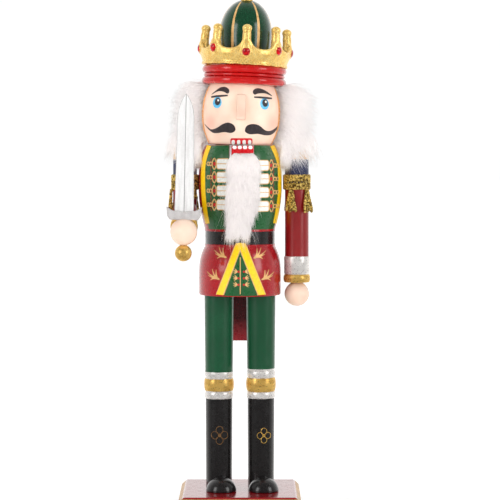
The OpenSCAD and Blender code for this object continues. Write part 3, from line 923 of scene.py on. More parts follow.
def skirt_paint():
    """The yellow V with its green wedge, and gold leaves on both sides."""
    shape = Shape()
    apex, inner = (0.2, 157.0), (0.2, 153.1)
    wedge = [inner, (-8.6, 127.9), (0.5, 127.7), (10.0, 127.9)]
    shape.add(patch(wedge, COAT, 0.08), 3)
    shape.add(patch([(-1.9, 156.8), apex, inner, (-9.1, 128.3), (-12.7, 128.5)], COAT, 0.42), 0)
    shape.add(patch([apex, (2.8, 156.8), (13.9, 128.4), (10.2, 128.2), inner], COAT, 0.42), 0)
    edges = (((-2.1, 156.6), (-12.9, 128.4)), ((3.0, 156.6), (14.1, 128.3)),
             ((0.1, 152.9), (-9.0, 128.3)), ((0.3, 152.9), (10.1, 128.2)))
    for (xa, za), (xb, zb) in edges:
        path = [(xa + (xb - xa) * i / 14, za + (zb - za) * i / 14) for i in range(15)]
        shape.add(line(path, COAT, 0.4), 1)
    shape.add(line([(0.25, 149 - i * 20.2 / 12) for i in range(13)], COAT, 0.3), 1)
    for z in (141.2, 137.6, 134.0):
        tuft(shape, -0.7, z, -1)
        tuft(shape, 2.3, z, 1)
    sprig(shape, -7.4, 148.9, -1)
    sprig(shape, 7.6, 148.6, 1)
    sprig(shape, -11.2, 136.8, -1)
    sprig(shape, 12.0, 136.6, 1)
    shape.build("skirt_paint", [YELLOW, PALE_GOLD, DOT_RED, PANEL_GREEN], "figure", "gold_paint")


# ---- head and face

def head():
    """The turned head; its rows follow the leaning axis and its foot is sawn level on the coat."""
    rows = [(0.05, 0, 0), (17.7, 0, 0)]
    rows += [(head_radius(z), z, 0) for z in [0.15 + i * (HEAD_H - 0.3) / 48 for i in range(49)]]
    rows += [(18.5, HEAD_H, 0), (0.05, HEAD_H, 0)]
    shape = Shape().add(turned(rows, 160), place=HEAD)
    for vert in shape.verts:
        vert.z = max(vert.z, NECK_Z + 0.02)
    shape.build("head_turned", [SKIN], "figure", "skin_paint", ["head"])


def nose():
    """A narrow wedge, thickest at its lower end."""
    outline = [(-17, 13.2), (-17, 28), (-22.3, 27.7), (-27.5, 15.2), (-27.3, 13.8)]
    shape = Shape().add(prism(outline[::-1], -2.6, 2.6), place=HEAD)
    piece = shape.build("nose_block", [NOSE_SKIN], "figure", "skin_paint", ["nose"], sharp=30)
    soften(piece, 0.6)


def brows(shape):
    left = [(-15.8, 239.3), (-12.7, 241.9), (-10.4, 243.2), (-7.9, 243.3), (-6.0, 241.9), (-6.0, 240.1),
            (-7.1, 239.6), (-8.9, 240.6), (-12.0, 241.0)]
    right = [(18.0, 238.4), (15.6, 240.5), (12.6, 242.1), (9.8, 242.6), (7.7, 241.7), (7.2, 240.2),
             (8.2, 239.0), (10.5, 239.7), (14.1, 239.8)]
    for outline in (left, right):
        shape.add(patch(smooth_loop(outline, 5), FACE, 0.09), 0)


def moustache(shape):
    left = [(-19.7, 223.1), (-18.2, 220.8), (-15.2, 218.2), (-12.2, 217.8), (-8.5, 218.3), (-4.7, 217.8),
            (-2.4, 219.4), (-3.4, 222.2), (-6.4, 223.5), (-9.6, 222.6), (-12.7, 220.7), (-15.8, 219.9),
            (-18.2, 221.5)]
    right = [(21.5, 222.3), (20.3, 219.7), (17.6, 217.1), (14.2, 216.6), (10.0, 217.3), (5.6, 217.1),
             (2.9, 218.6), (3.7, 221.5), (6.8, 222.7), (10.6, 222.0), (14.2, 219.3), (17.2, 219.2),
             (19.8, 220.7)]
    for outline in (left, right):
        shape.add(patch(smooth_loop(outline, 5), FACE, 0.11), 0)


def eye(shape, x, z, tilt, lid):
    """A blue iris, a black pupil with a glint, and a straight upper lid."""
    shape.add(patch(oval(x, z, 2.45, 3.15, tilt), FACE, 0.06), 1)
    shape.add(patch(oval(x + 0.25, z + 0.55, 1.55, 2.15, tilt), FACE, 0.12), 0)
    shape.add(patch(oval(x + 0.6, z + 1.2, 0.5, 0.62), FACE, 0.18), 2)
    shape.add(patch(stroke(lid, [0.8, 1.1, 1.15, 0.9]), FACE, 0.1), 0)


def mouth(shape):
    """The upper lip and four upper teeth, painted along the head's lower edge."""
    shape.add(patch(slab(-5.2, 7.0, 211.5, 214.9, 0.9), FACE, 0.1), 3)
    for x in (-3.6, -0.6, 2.4, 5.4):
        shape.add(patch(slab(x - 0.9, x + 0.9, 211.5, 213.95, 0.75), FACE, 0.28), 2)


def contour(shape):
    """The tan line down each side of the face, where the hair begins."""
    for side in (-1, 1):
        path = []
        for i in range(30):
            z = 0.6 + 31.8 * i / 29
            azimuth = radians(side * (70 + 3 * sin(pi * i / 29)))
            r = head_radius(z) + 0.02
            path.append(HEAD @ Vector((r * sin(azimuth), -r * cos(azimuth), z)))
        radii = [0.25 + 0.45 * sin(pi * (i + 1) / 31) for i in range(30)]
        shape.add(tube(path, radii), 4)


def face():
    shape = Shape()
    brows(shape)
    eye(shape, -12.5, 234.7, -6, [(-15.9, 237.9), (-13, 238.2), (-9.5, 238.4), (-6.6, 238.5)][::-1])
    eye(shape, 13.7, 233.9, 6, [(17.8, 237.1), (14.5, 237.3), (11, 237.5), (7.9, 237.6)][::-1])
    moustache(shape)
    mouth(shape)
    contour(shape)
    shape.build("face_paint", [HAIR_BLACK, IRIS, WHITE, LIP, CONTOUR], "figure", "skin_paint")


# ---- hat

def hat_band():
    """Two fat red beads with a thin one between them."""
    low_h, thin_h = 0.4 * BAND_H, 0.17 * BAND_H
    high_h = BAND_H - low_h - thin_h
    rows = [(0.05, 0, 0)]
    rows += arc(23.8 - low_h / 2, low_h / 2, low_h / 2, low_h / 2, -90, 88, 16)
    rows += arc(22.9 - thin_h / 2, low_h + thin_h / 2, thin_h / 2, thin_h / 2, -80, 80, 8)
    rows += arc(23.8 - high_h / 2, BAND_H - high_h / 2, high_h / 2, high_h / 2, -88, 90, 16)
    rows.append((0.05, BAND_H, 0))
    shape = Shape().add(turned(rows, 160), place=HEAD @ shift(HAT_ASIDE, 0, HEAD_H))
    shape.build("hat_band_turned", [HAT_RED], "figure", "red_lacquer", ["hat_band"])


RISE = 19.8
DOME_TOP = DOME_H - 1.1


def dome_radius(z):
    """An egg: straight flanks under half an ellipse."""
    if z < DOME_H - RISE:
        share = z / (DOME_H - RISE)
        return 13.4 + 1.2 * (1 - (1 - share) ** 1.6)
    return 14.6 * sqrt(max(0, 1 - ((z - DOME_H + RISE) / RISE) ** 2))


def dome():
    """The green crown of the hat, with six gold lines painted down it."""
    shape = Shape()
    rows = [(0.05, 0, 0)]
    rows += [(dome_radius(z), z, 0) for z in [DOME_TOP * sin(radians(a)) for a in range(0, 91, 2)]]
    rows.append((0.05, DOME_TOP + 0.02, 0))
    shape.add(turned(rows, 128), 0, HAT)
    for k in range(6):
        azimuth = radians(30 + 60 * k)
        across = Vector((cos(azimuth), sin(azimuth), 0))
        front = Vector((sin(azimuth), -cos(azimuth), 0))
        edges = []
        for i in range(41):
            z = 0.3 + (DOME_TOP - 1.0) * i / 40
            half = 0.95 - 0.45 * (i / 40) ** 3
            centre = front * (dome_radius(z) + 0.05) + Vector((0, 0, z))
            edges.append((centre, half))
        verts = []
        for centre, half in edges:
            verts += [centre - across * half - front * 0.25, centre - across * half * 0.8 + front * 0.07,
                      centre + across * half * 0.8 + front * 0.07, centre + across * half - front * 0.25]
        shape.add((verts, walls(len(edges), 4) + caps(len(edges), 4)), 1, HAT)
    shape.build("dome_turned", [DOME_GREEN, PALE_GOLD], "figure", "green_lacquer", ["dome"])


def finial():
    """A small gold knob on a flared stem."""
    tall = 12.7
    rows = [(0.05, 0), (3.4, 0), (3.45, 0.5), (3.2, 1.1), (2.4, 1.6), (1.8, 2.2)]
    rows += arc(0, tall / 2 + 0.3, 0.36 * tall, 0.36 * tall, -66, 62, 20)
    rows += [(1.5, tall - 1.5), (1.0, tall - 0.7), (0.4, tall - 0.1), (0.05, tall)]
    shape = Shape().add(turned(rows, 64), place=HAT @ shift(0, 0, DOME_TOP))
    shape.build("finial_turned", [GOLD], "figure", "gold_paint", ["finial"])


# ---- crown

POINTS = 8
CROWN = HAT @ spin(radians(1.2), "Y") @ spin(radians(1.2), "Z")
CROWN_WALL = 1.8
CROWN_RIM_R = 25.3
CROWN_NOTCH = 7.7
JEWEL_Z = 7.0


def crown_radius(z):
    if z < 1.2:
        return 23.6 + 0.35 * sin(pi * z / 2.4)
    rise = min(1, (z - 1.2) / 5.2)
    return 23.8 + 1.5 * rise * rise * (3 - 2 * rise)


def crown_top(away):
    """The wall's height at a distance along it from the nearest point of the crown."""
    return CROWN_NOTCH + 5.2 * exp(-max(0, away - 2.3) / 1.9)


def crown_wall():
    """The scalloped ring, with a rounded upper edge."""
    columns, rows = POINTS * 48, 16
    verts = []
    for i in range(columns):
        angle = tau * i / columns
        step = tau / POINTS
        away = abs((angle + step / 2) % step - step / 2) * CROWN_RIM_R
        top = crown_top(away)
        section = [(crown_radius(top * j / rows), top * j / rows) for j in range(rows + 1)]
        edge = crown_radius(top) - CROWN_WALL / 2
        section += [(edge + CROWN_WALL / 2 * cos(a), top + CROWN_WALL / 2 * sin(a))
                    for a in (radians(30 * k) for k in range(1, 6))]
        section += [(crown_radius(top * j / rows) - CROWN_WALL, top * j / rows) for j in range(rows, -1, -1)]
        verts += [(r * sin(angle), -r * cos(angle), z) for r, z in section]
    return verts, walls(columns, len(verts) // columns, wrap=True, flip=True)


def crown_point():
    """One finger: a long bead and a round knob on a foot that sinks into the wall."""
    rows = [(0.05, 8.5), (3.1, 8.5), (3.1, 10.2), (2.75, 12.0), (2.5, 13.2), (2.4, 14.5), (2.45, 16.4),
            (2.4, 17.5), (2.15, 18.1), (2.4, 18.6)]
    rows += arc(0, 20.2, 2.7, 2.3, -35, 88, 14)
    return turned([(max(0.05, row[0]), row[1]) for row in rows], 32)


def jewel_frame(i):
    """The middle of a setting: +Z points out of the crown and +Y up it."""
    turn = spin(tau * i / POINTS, "Z")
    up = JEWEL_Z + (1.7 if i else 0)
    return CROWN @ turn @ shift(0, 0.9 - crown_radius(up), up) @ spin(radians(92), "X")


def crown():
    """Wall, fingers and settings fused into one casting."""
    shape = Shape().add(crown_wall(), place=CROWN)
    lip = [(23.65 * sin(a), -23.65 * cos(a), 0.5 + 0.16 * sin(21 * a))
           for a in (tau * i / 240 for i in range(240))]
    shape.add(tube(lip, 0.62, 8, True), place=CROWN)
    for i in range(POINTS):
        turn = spin(tau * i / POINTS, "Z")
        lean = spin(radians(-4), "X")
        stand = shift(0, 1.7 - CROWN_RIM_R, 8.2) @ lean @ shift(0, 0, -8.5)
        shape.add(crown_point(), place=CROWN @ turn @ stand)
        cup = turned([(0.05, -0.6), (2.9, -0.6), (3.05, 0.6), (2.95, 1.35), (2.6, 1.5), (0.05, 1.5)], 32)
        shape.add(cup, place=jewel_frame(i) @ Matrix.Diagonal((0.94, 1.06, 1, 1)))
    piece = shape.build("crown_cast", [CAST_GOLD], "figure", "gold_cast", ["crown"])
    fuse = piece.modifiers.new("fuse", "REMESH")
    fuse.mode = "VOXEL"
    fuse.voxel_size = 0.36 * MM
    relax = piece.modifiers.new("relax", "SMOOTH")
    relax.factor = 0.5
    relax.iterations = 3
    bake_modifiers(piece)
    piece.data.polygons.foreach_set("use_smooth", [True] * len(piece.data.polygons))


def jewels():
    """Oval stones: a table over two rows of three-sided facets, on a straight girdle."""
    rings = ((0, 1.0, 0), (0.35, 1.0, 0), (0.95, 0.74, 0.5), (1.35, 0.42, 0))
    shape = Shape()
    for i in range(POINTS):
        verts, faces = [], []
        for z, size, twist in rings:
            for k in range(8):
                a = tau * (k + twist) / 8
                verts.append((2.3 * size * cos(a), 2.6 * size * sin(a), z + 1.2))
        for j in range(len(rings) - 1):
            for k in range(8):
                m = (k + 1) % 8
                a, b, c, d = 8 * j + k, 8 * j + m, 8 * j + 8 + k, 8 * j + 8 + m
                if j == 1:
                    faces += [(a, b, c), (b, d, c)]
                elif j == 2:
                    faces += [(a, d, c), (a, b, d)]
                else:
                    faces.append((a, b, d, c))
        faces += caps(len(rings), 8)
        shape.add((verts, faces), place=jewel_frame(i))
    shape.build("jewels_cut", [RUBY], "figure", "ruby", ["jewels"], smooth=False)


# ---- jaw

LEVER_OUTLINE = [
    (-20.2, -0.4), (-21.6, -4.9), (-22.7, -9), (-23, -15), (-22.4, -25), (-15, -28.3), (-8, -29), (12, -28),
    (21, -27), (24.6, -30), (24.6, -102.5), (27.4, -112.7), (33.2, -112.7), (29.8, -101.5), (29.8, -20),
    (27, -15.5), (18, -12.8), (-6, -12), (-11, -9), (-13, -0.4),
]


def jaw_depth(z):
    """The y of the lever's front face, from its mouth down to where the beard hides it."""
    front = LEVER_OUTLINE[:5]
    drop = z - NECK_Z
    for (ya, za), (yb, zb) in zip(front, front[1:]):
        if drop >= zb:
            return ya + (yb - ya) * (za - drop) / (za - zb)
    return front[-1][0]


JAW = Flat(jaw_depth)


def jaw():
    """The lever, sawn from one board, with its teeth and lower lip."""
    outline = [(y, z + NECK_Z) for y, z in LEVER_OUTLINE]
    shape = Shape().add(prism(outline, LEVER[0], LEVER[1]))
    piece = shape.build("jaw_board", [LEVER_RED], "jaw", "red_lacquer", ["jaw_lever"], sharp=30)
    soften(piece, 0.5)
    mouth_paint = Shape()
    mouth_paint.add(patch(slab(LEVER[0] + 0.05, LEVER[1] - 0.05, 205.4, 210.7, 0.3), JAW, 0.08), 1)
    for x in (-2.9, 0.0, 2.9, 5.9):
        mouth_paint.add(patch(slab(x - 1.15, x + 1.15, 208.8, 210.8, 0.95), JAW, 0.32, cell=0.6), 0)
    mouth_paint.build("jaw_paint", [TOOTH, LIP], "jaw", "skin_paint")


# ---- fur

def unit(vectors):
    return vectors / np.linalg.norm(vectors, axis=-1, keepdims=True)


def plush(name, body, roots, starts, pulls, lengths, seed, width, gather, clumps, replaces=()):
    """Closed three-sided hairs: each leaves its root along start, bends along pull and joins a lock."""
    rng = np.random.default_rng(seed)
    count, rings = len(roots), 4
    t = np.linspace(0, 1, rings + 1)[None, :, None]
    reach = lengths[:, None, None]
    path = roots[:, None] + reach * (starts[:, None] * (t - t * t / 2) + pulls[:, None] * t * t / 2)
    sway = unit(rng.normal(size=(count, 3)))[:, None]
    path = path + sway * reach * 0.05 * np.sin(t * rng.uniform(2, 6, (count, 1, 1)))
    leaders = rng.choice(count, min(clumps, count), replace=False)
    own = leaders[((roots[:, None] - roots[None, leaders]) ** 2).sum(-1).argmin(1)]
    path = path + (path[own] - path) * gather * t ** 1.4
    along = unit(np.diff(path, axis=1))
    side = unit(np.cross(along, sway + 0.01))
    up = np.cross(along, side)
    corners = []
    for k in range(3):
        a = tau * k / 3
        thick = width * (1 - 0.8 * t[:, :rings] ** 2)
        corners.append(path[:, :rings] + thick * (cos(a) * side + sin(a) * up))
    verts = np.stack(corners, 2).reshape(count, rings * 3, 3)
    verts = np.concatenate([verts, path[:, rings:]], 1)
    per = rings * 3 + 1
    first = (np.arange(count) * per)[:, None, None]
    tip = 3 * rings
    tris = [(2, 1, 0)] + [(tip - 3 + k, tip - 3 + (k + 1) % 3, tip) for k in range(3)]
    quads = (first + np.array(walls(rings, 3))[None]).reshape(-1, 4)
    tris = (first + np.array(tris)[None]).reshape(-1, 3)
    mesh = bpy.data.meshes.new(name)
    mesh.vertices.add(count * per)
    mesh.vertices.foreach_set("co", (verts * MM).ravel())
    corners = np.concatenate([quads.ravel(), tris.ravel()])
    mesh.loops.add(len(corners))
    mesh.loops.foreach_set("vertex_index", corners)
    sizes = np.concatenate([np.full(len(quads), 4), np.full(len(tris), 3)])
    mesh.polygons.add(len(sizes))
    mesh.polygons.foreach_set("loop_start", np.concatenate([[0], np.cumsum(sizes)[:-1]]))
    mesh.materials.append(FUR)
    mesh.update(calc_edges=True)
    mesh.polygons.foreach_set("use_smooth", [True] * len(sizes))
    piece = ridden(mesh, name, body, replaces)
    piece.visible_shadow = False
    return piece


def around_head(rng, count, first, last, z_low, z_high):
    """Roots on the head between two azimuths, in degrees from the front towards +X, in the head's axes."""
    azimuth = np.radians(rng.uniform(first, last, count))
    z = rng.uniform(z_low, z_high, count)
    radius = np.array([head_radius(h) for h in z]) - 0.3
    out = np.stack([np.sin(azimuth), -np.cos(azimuth), np.zeros(count)], 1)
    return out * radius[:, None] + np.array([0, 0, 1]) * z[:, None], out, z


def to_frame(matrix, points, direction=False):
    """Move an array of points, or turn directions, by a matrix."""
    turn = np.array(matrix.to_3x3())
    moved = points @ turn.T
    return moved if direction else moved + np.array(matrix.translation)


def hair():
    """Long white plush round the sides and the back of the head, in five pieces, over its backing."""
    down = np.array([0, 0, -1.0])
    parts = (("hair_left", 72.5, 104, 21, 1.14), ("hair_left_back", 104, 140, 22, 1.08),
             ("hair_back", 140, 220, 23, 1.0), ("hair_right_back", 220, 256, 24, 1.0),
             ("hair_right", 256, 287.5, 25, 1.02))
    for name, first, last, seed, size in parts:
        rng = np.random.default_rng(seed)
        roots, out, z = around_head(rng, HAIRS, first, last, 2.5, HEAD_H - 0.6)
        high_up = (z / HEAD_H)[:, None]
        noise_a = rng.normal(size=(HAIRS, 3)) * 0.22
        noise_b = rng.normal(size=(HAIRS, 3)) * 0.3
        starts = out + down * (0.42 - 0.5 * high_up) + noise_a
        pulls = out * (0.3 + 0.62 * high_up) + down * (0.95 - 0.35 * high_up) + noise_b
        lengths = size * rng.uniform(14.5, 21.5, HAIRS) * (1.0 - 0.12 * high_up[:, 0])
        replaces = ["hair"] if name == "hair_back" else ()
        plush(name, "figure", to_frame(HEAD, roots), to_frame(HEAD, starts, True),
              to_frame(HEAD, pulls, True), lengths, seed, 0.14, 0.42, 420, replaces)
    hair_core()


def hair_core():
    """The backing under the long hairs: a soft lumpy band of the strip's own width."""
    steps, rows = 120, 22
    core_z, core_half = 17.5, 13.5
    verts = []
    for i in range(steps + 1):
        azimuth = radians(80 + 200 * i / steps)
        out = Vector((sin(azimuth), -cos(azimuth), 0))
        ends = min(1, i / 8, (steps - i) / 8)
        for j in range(rows + 1):
            a = pi * j / rows
            z = core_z - core_half * cos(a)
            puff = 9.5 * sin(a) ** 0.6 * sin(ends * pi / 2) ** 0.5
            lump = 1.6 * noise.noise(Vector((azimuth * 6, z * 0.3, 3))) * sin(a)
            verts.append(out * (head_radius(z) - 0.4 + max(0, puff + lump)) + Vector((0, 0, z)))
        for j in range(1, rows):
            a = pi * j / rows
            verts.append(out * 17 + Vector((0, 0, core_z + core_half * cos(a))))
    faces = walls(steps + 1, 2 * rows, flip=True) + caps(steps + 1, 2 * rows, flip=True)
    shape = Shape().add((verts, faces), place=HEAD)
    shape.build("hair_backing", [FUR], "figure", "white_fur").visible_shadow = False


def shoulder_wisps():
    """The ends of the hair that fall over both shoulders."""
    rng = np.random.default_rng(31)
    count = HAIRS // 5
    side = rng.choice([-1.0, 1.0], count)
    x = side * rng.uniform(22, 38, count) + 1
    y = rng.uniform(-9.5, 9.5, count)
    z = rng.uniform(212.6, 219, count)
    roots = np.stack([x, y, z], 1)
    ahead = np.sign(y) * (1 - np.abs(np.abs(x) - 32) / 9)
    starts = np.stack([side * 0.35, ahead * 0.75, np.full(count, -0.2)], 1)
    starts += rng.normal(size=(count, 3)) * 0.25
    pulls = np.stack([side * 0.25, ahead * 0.35, np.full(count, -1.4)], 1)
    pulls += rng.normal(size=(count, 3)) * 0.2
    plush("hair_wisps", "figure", roots, starts, pulls, rng.uniform(11, 19, count), 32, 0.12, 0.65, 120)
    x = side * rng.uniform(22.6, 27.4, count) + 0.6
    y = rng.uniform(-10.5, -4.5, count)
    roots = np.stack([x, y, rng.uniform(208, 216, count)], 1)
    starts = np.array([0, -0.1, -0.7]) + rng.normal(size=(count, 3)) * 0.12
    pulls = np.array([0, 0.05, -1.1]) + rng.normal(size=(count, 3)) * 0.12
    plush("neck_wisps", "figure", roots, starts, pulls, rng.uniform(10, 17, count), 33, 0.12, 0.5, 90)


BEARD_Y = -24.2


def beard_middle(z):
    """The beard drifts towards the figure's right as it hangs."""
    return -1.9 + 3.9 * max(0, min(1, (z - 165) / 30))


def beard_half(z):
    """Half the beard's width at its backing."""
    t = max(0, min(1, (205.5 - z) / 42))
    swell = 1.8 * sin(pi * min(1, 1.5 * t)) - 1.8 * t ** 3
    return 5.2 + swell - 0.6 * sin(pi * min(1, 3.4 * t))


def beard():
    rng = np.random.default_rng(41)
    z = 206.6 - 37.2 * rng.uniform(0, 1, HAIRS) ** 1.15
    azimuth = np.radians(rng.uniform(-88, 88, HAIRS))
    half = np.array([beard_half(h) for h in z])
    mid = np.array([beard_middle(h) for h in z])
    depth = 4.6 * np.sqrt(np.clip((206.9 - z) / 10, 0.03, 1))
    out = np.stack([np.sin(azimuth), -np.cos(azimuth), np.zeros(HAIRS)], 1)
    roots = np.stack([mid + half * np.sin(azimuth), BEARD_Y + 0.4 - depth * np.cos(azimuth), z], 1)
    down = np.array([0, 0, -1.0])
    early = np.clip((z - 198) / 8, 0, 1)[:, None]
    starts = out * (0.22 + 0.35 * early) + down * (0.9 - 0.3 * early) + rng.normal(size=(HAIRS, 3)) * 0.09
    pulls = out * 0.03 + down * 1.0 + rng.normal(size=(HAIRS, 3)) * 0.1
    lengths = rng.uniform(10, 16, HAIRS) + 2.5 * (rng.uniform(0, 1, HAIRS) > 0.9)
    starts[:, 1] = np.minimum(starts[:, 1], -0.02)
    pulls[:, 1] = np.minimum(pulls[:, 1], 0.02)
    plush("beard_fur", "beard", roots, starts, pulls, lengths, 42, 0.14, 0.35, 420, ["beard"])
    stray = HAIRS // 14
    pick = rng.choice(HAIRS, stray, replace=False)
    wild = rng.normal(size=(stray, 3)) * 0.14
    wild[:, 1] = -np.abs(wild[:, 1])
    plush("beard_strays", "beard", roots[pick], starts[pick] + wild, pulls[pick] + wild * 1.3,
          rng.uniform(12, 19, stray), 43, 0.06, 0.1, 60)
    beard_backing()


def beard_backing():
    """The dense underfur, a closed half drop."""
    steps, rows = 30, 36
    verts = []
    for j in range(rows + 1):
        z = 205.2 - 38.5 * j / rows
        depth = 4.4 * sqrt(max(0.05, min(1, (205.9 - z) / 10, (z - 165) / 8)))
        half = beard_half(z) * min(1, sqrt(max(0.05, (z - 165.5) / 6)))
        for i in range(steps):
            a = tau * i / steps
            y = BEARD_Y + 0.3 - depth * max(0, cos(a))
            lump = 0.4 * noise.noise(Vector((3 * sin(a), z * 0.5, 7)))
            verts.append((beard_middle(z) + (half + lump) * sin(a), y, z))
    faces = walls(rows + 1, steps, flip=True) + caps(rows + 1, steps, flip=True)
    Shape().add((verts, faces)).build("beard_backing", [FUR], "beard", "white_fur")


# ---- arms

def sliced(part, point, normal):
    """Keep what lies behind a plane and close the cut."""
    bm = bmesh.new()
    verts = [bm.verts.new(v) for v in part[0]]
    for face, paint in zip(part[1], part[2]):
        bm.faces.new([verts[i] for i in face]).material_index = paint
    everything = bm.verts[:] + bm.edges[:] + bm.faces[:]
    cut = bmesh.ops.bisect_plane(bm, geom=everything, plane_co=point, plane_no=normal, clear_outer=True)
    rim = [e for e in cut["geom_cut"] if isinstance(e, bmesh.types.BMEdge)]
    bmesh.ops.contextual_create(bm, geom=rim)
    bmesh.ops.recalc_face_normals(bm, faces=bm.faces[:])
    bm.verts.index_update()
    out = [v.co.copy() for v in bm.verts], [tuple(v.index for v in f.verts) for f in bm.faces], \
        [f.material_index for f in bm.faces]
    bm.free()
    return out


def sleeve_rows(wrist, braid_foot, top):
    """Rows up a sleeve: gold ring, silver cuff, red sleeve, blue shoulder and gold cap."""
    ring, cuff = 4.5, 14.7
    rows = [(0.05, wrist, 1), (6.6, wrist, 1)]
    rows += arc(6.75, wrist + ring / 2, 0.8, ring / 2, -85, 80, 12, 1)
    rows += [(6.85, wrist + ring + 0.05, 2), (7.2, wrist + ring + 0.5, 2), (7.25, wrist + cuff - 0.8, 2),
             (7.1, wrist + cuff - 0.15, 2), (6.75, wrist + cuff, 0)]
    if braid_foot is None:
        return rows + [(SLEEVE_R, wrist + cuff + 1 + i * (top - wrist - cuff - 1) / 6, 0) for i in range(7)]
    rows += [(SLEEVE_R, wrist + cuff + 1 + i * (braid_foot - wrist - cuff) / 10, 0) for i in range(10)]
    rows += [(SLEEVE_R, braid_foot + 3, 3), (SLEEVE_R, braid_foot + 17.4, 4)]
    rows += arc(SLEEVE_R - 2, top - 2, 2, 2, 0, 90, 8, 4)
    rows.append((0.05, top, 4))
    return rows


SLEEVE_PAINTS = [SLEEVE_RED, GOLD, SILVER, BLUE, PALE_GOLD]


def hand(name, body, centre, radius, node):
    """A turned ball."""
    shape = Shape().add(ball(radius, radius, 40, 72), place=Matrix.Translation(centre))
    shape.build(name, [HAND_SKIN], body, "skin_paint", [node])


def left_arm():
    wrist = LEFT_HAND_Z + WRIST
    rows = sleeve_rows(wrist, BRAID_Z, high("left_arm").z)
    shape = Shape().add(turned(rows, 96), place=shift(LEFT_X, 0, 0))
    shape.build("left_arm_turned", SLEEVE_PAINTS, "left_arm", "red_lacquer", ["left_arm"])
    hand("left_hand_ball", "left_arm", (LEFT_X, 0, LEFT_HAND_Z), 6.95, "left_hand")


def right_arm():
    """The bent arm: the sleeve is mitred and glued at the elbow."""
    ahead = (FORE.to_3x3() @ Vector((0, 0, 1)) + Vector((0, 0, -1))).normalized()
    upper = turned(sleeve_rows(ELBOW.z - 34, BRAID_Z, high("right_upper_arm").z), 96)
    upper_verts = [Vector(v) + Vector((RIGHT_X, 0, 0)) for v in upper[0]]
    part = sliced((upper_verts, upper[1], upper[2]), ELBOW, ahead)
    Shape().add(part).build("right_upper_arm_turned", SLEEVE_PAINTS, "right_arm", "red_lacquer",
                            ["right_upper_arm"])
    length = FOREARM - WRIST
    flip = FORE @ shift(0, 0, length) @ spin(pi, "X")
    lower = turned(sleeve_rows(0, None, length + 20), 96)
    lower_verts = [flip @ Vector(v) for v in lower[0]]
    part = sliced((lower_verts, lower[1], lower[2]), ELBOW, -ahead)
    Shape().add(part).build("right_forearm_turned", SLEEVE_PAINTS, "right_arm", "red_lacquer",
                            ["right_forearm"])
    hand("right_hand_ball", "right_arm", FIST, 7.4, "right_hand")


def rope(path, ply, turns, radius, closed=False):
    """Two plies twisted round a path."""
    path = [Vector(p) for p in path]
    count = len(path)
    parts = []
    side = None
    frames = []
    for i, p in enumerate(path):
        ahead = path[(i + 1) % count] if closed or i < count - 1 else p
        behind = path[i - 1] if closed or i > 0 else p
        along = (ahead - behind).normalized()
        side = Vector((0, 0, 1)).cross(along) if closed or abs(along.z) < 0.9 else Vector((1, 0, 0))
        side = (side - along * side.dot(along)).normalized()
        frames.append((p, side, along.cross(side)))
    for phase in (0, pi):
        points = []
        for i, (p, side, up) in enumerate(frames):
            a = tau * turns * i / (count if closed else count - 1) + phase
            points.append(p + ply * (cos(a) * side + sin(a) * up))
        parts.append(tube(points, radius, 5, closed))
    return parts


def braid(name, body, x, node):
    """Four rows of coarse twisted metallic cord, with a zigzag woven through them."""
    shape = Shape()
    count = 200
    for k in range(4):
        z = BRAID_Z + BRAID_H * (k + 0.5) / 4
        ring = [Vector((x + 6.95 * sin(a), -6.95 * cos(a), z))
                for a in (tau * i / count for i in range(count))]
        for part in rope(ring, 0.42, 17 + k % 2, 0.5, True):
            shape.add(part)
    for phase in (0, pi):
        zigzag = []
        for i in range(count):
            a = tau * i / count
            z = BRAID_Z + BRAID_H * (0.5 + 0.4 * sin(13 * a + phase))
            zigzag.append(Vector((x + 7.45 * sin(a), -7.45 * cos(a), z)))
        shape.add(tube(zigzag, 0.36, 6, True))
    shape.build(name, [THREAD], body, "gold_braid", [node])


TASSEL = 12.5


def tassel(shape, x, degrees, length, rng):
    """A bundle of twisted cords that spreads as it hangs."""
    a = radians(degrees)
    out = Vector((sin(a), -cos(a), 0))
    across = Vector((cos(a), sin(a), 0))
    knot = Vector((x, 0, BRAID_Z + 0.4)) + out * (SLEEVE_R + 0.75)
    shape.add(ball(1.0, 0.9, 8, 14), place=Matrix.Translation(knot - Vector((0, 0, 0.5))))
    for _ in range(12):
        spread = rng.uniform(-1, 1)
        lift = rng.uniform(0, 1)
        drop = length * rng.uniform(0.88, 1.03)
        path = []
        for i in range(15):
            t = i / 14
            sway = 0.22 * sin(5 * t + 6 * lift)
            path.append(knot + across * (spread * (0.6 + 2.9 * t) + sway) +
                        out * (0.2 + lift * (0.5 + 1.2 * t)) - Vector((0, 0, drop * t)))
        for part in rope(path, 0.34, 4, 0.4):
            shape.add(part)


def tassels(name, body, x, places, seed, node):
    rng = np.random.default_rng(seed)
    shape = Shape()
    for length, degrees in places:
        tassel(shape, x, degrees, length, rng)
    shape.build(name, [THREAD], body, "gold_braid", [node])


def trimmings():
    braid("left_braid_woven", "left_arm", LEFT_X, "left_braid")
    braid("right_braid_woven", "right_arm", RIGHT_X, "right_braid")
    left = ((TASSEL, -26), (TASSEL, 46), (TASSEL, 132), (TASSEL, 212))
    right = ((TASSEL, -85), (5, 38), (TASSEL, 142), (TASSEL, 218))
    tassels("left_tassel_cords", "left_arm", LEFT_X, left, 51, "left_tassels")
    tassels("right_tassel_cords", "right_arm", RIGHT_X, right, 52, "right_tassels")


# ---- sword

BLADE_LEN = 64
GUARD_FOOT, GUARD_TOP, GUARD_TIP = 6.5, 11.4, 13.8
GUARD_HALF = 9.7
POMMEL_R = 4.6
POMMEL_DROP = 11.5


def blade_half(h):
    """Half the blade's width at a height above the guard."""
    shoulder = 46
    if h < shoulder:
        return 5.3 - 0.65 * h / shoulder
    return 4.65 * (1 - ((h - shoulder) / (BLADE_LEN - shoulder)) ** 3)


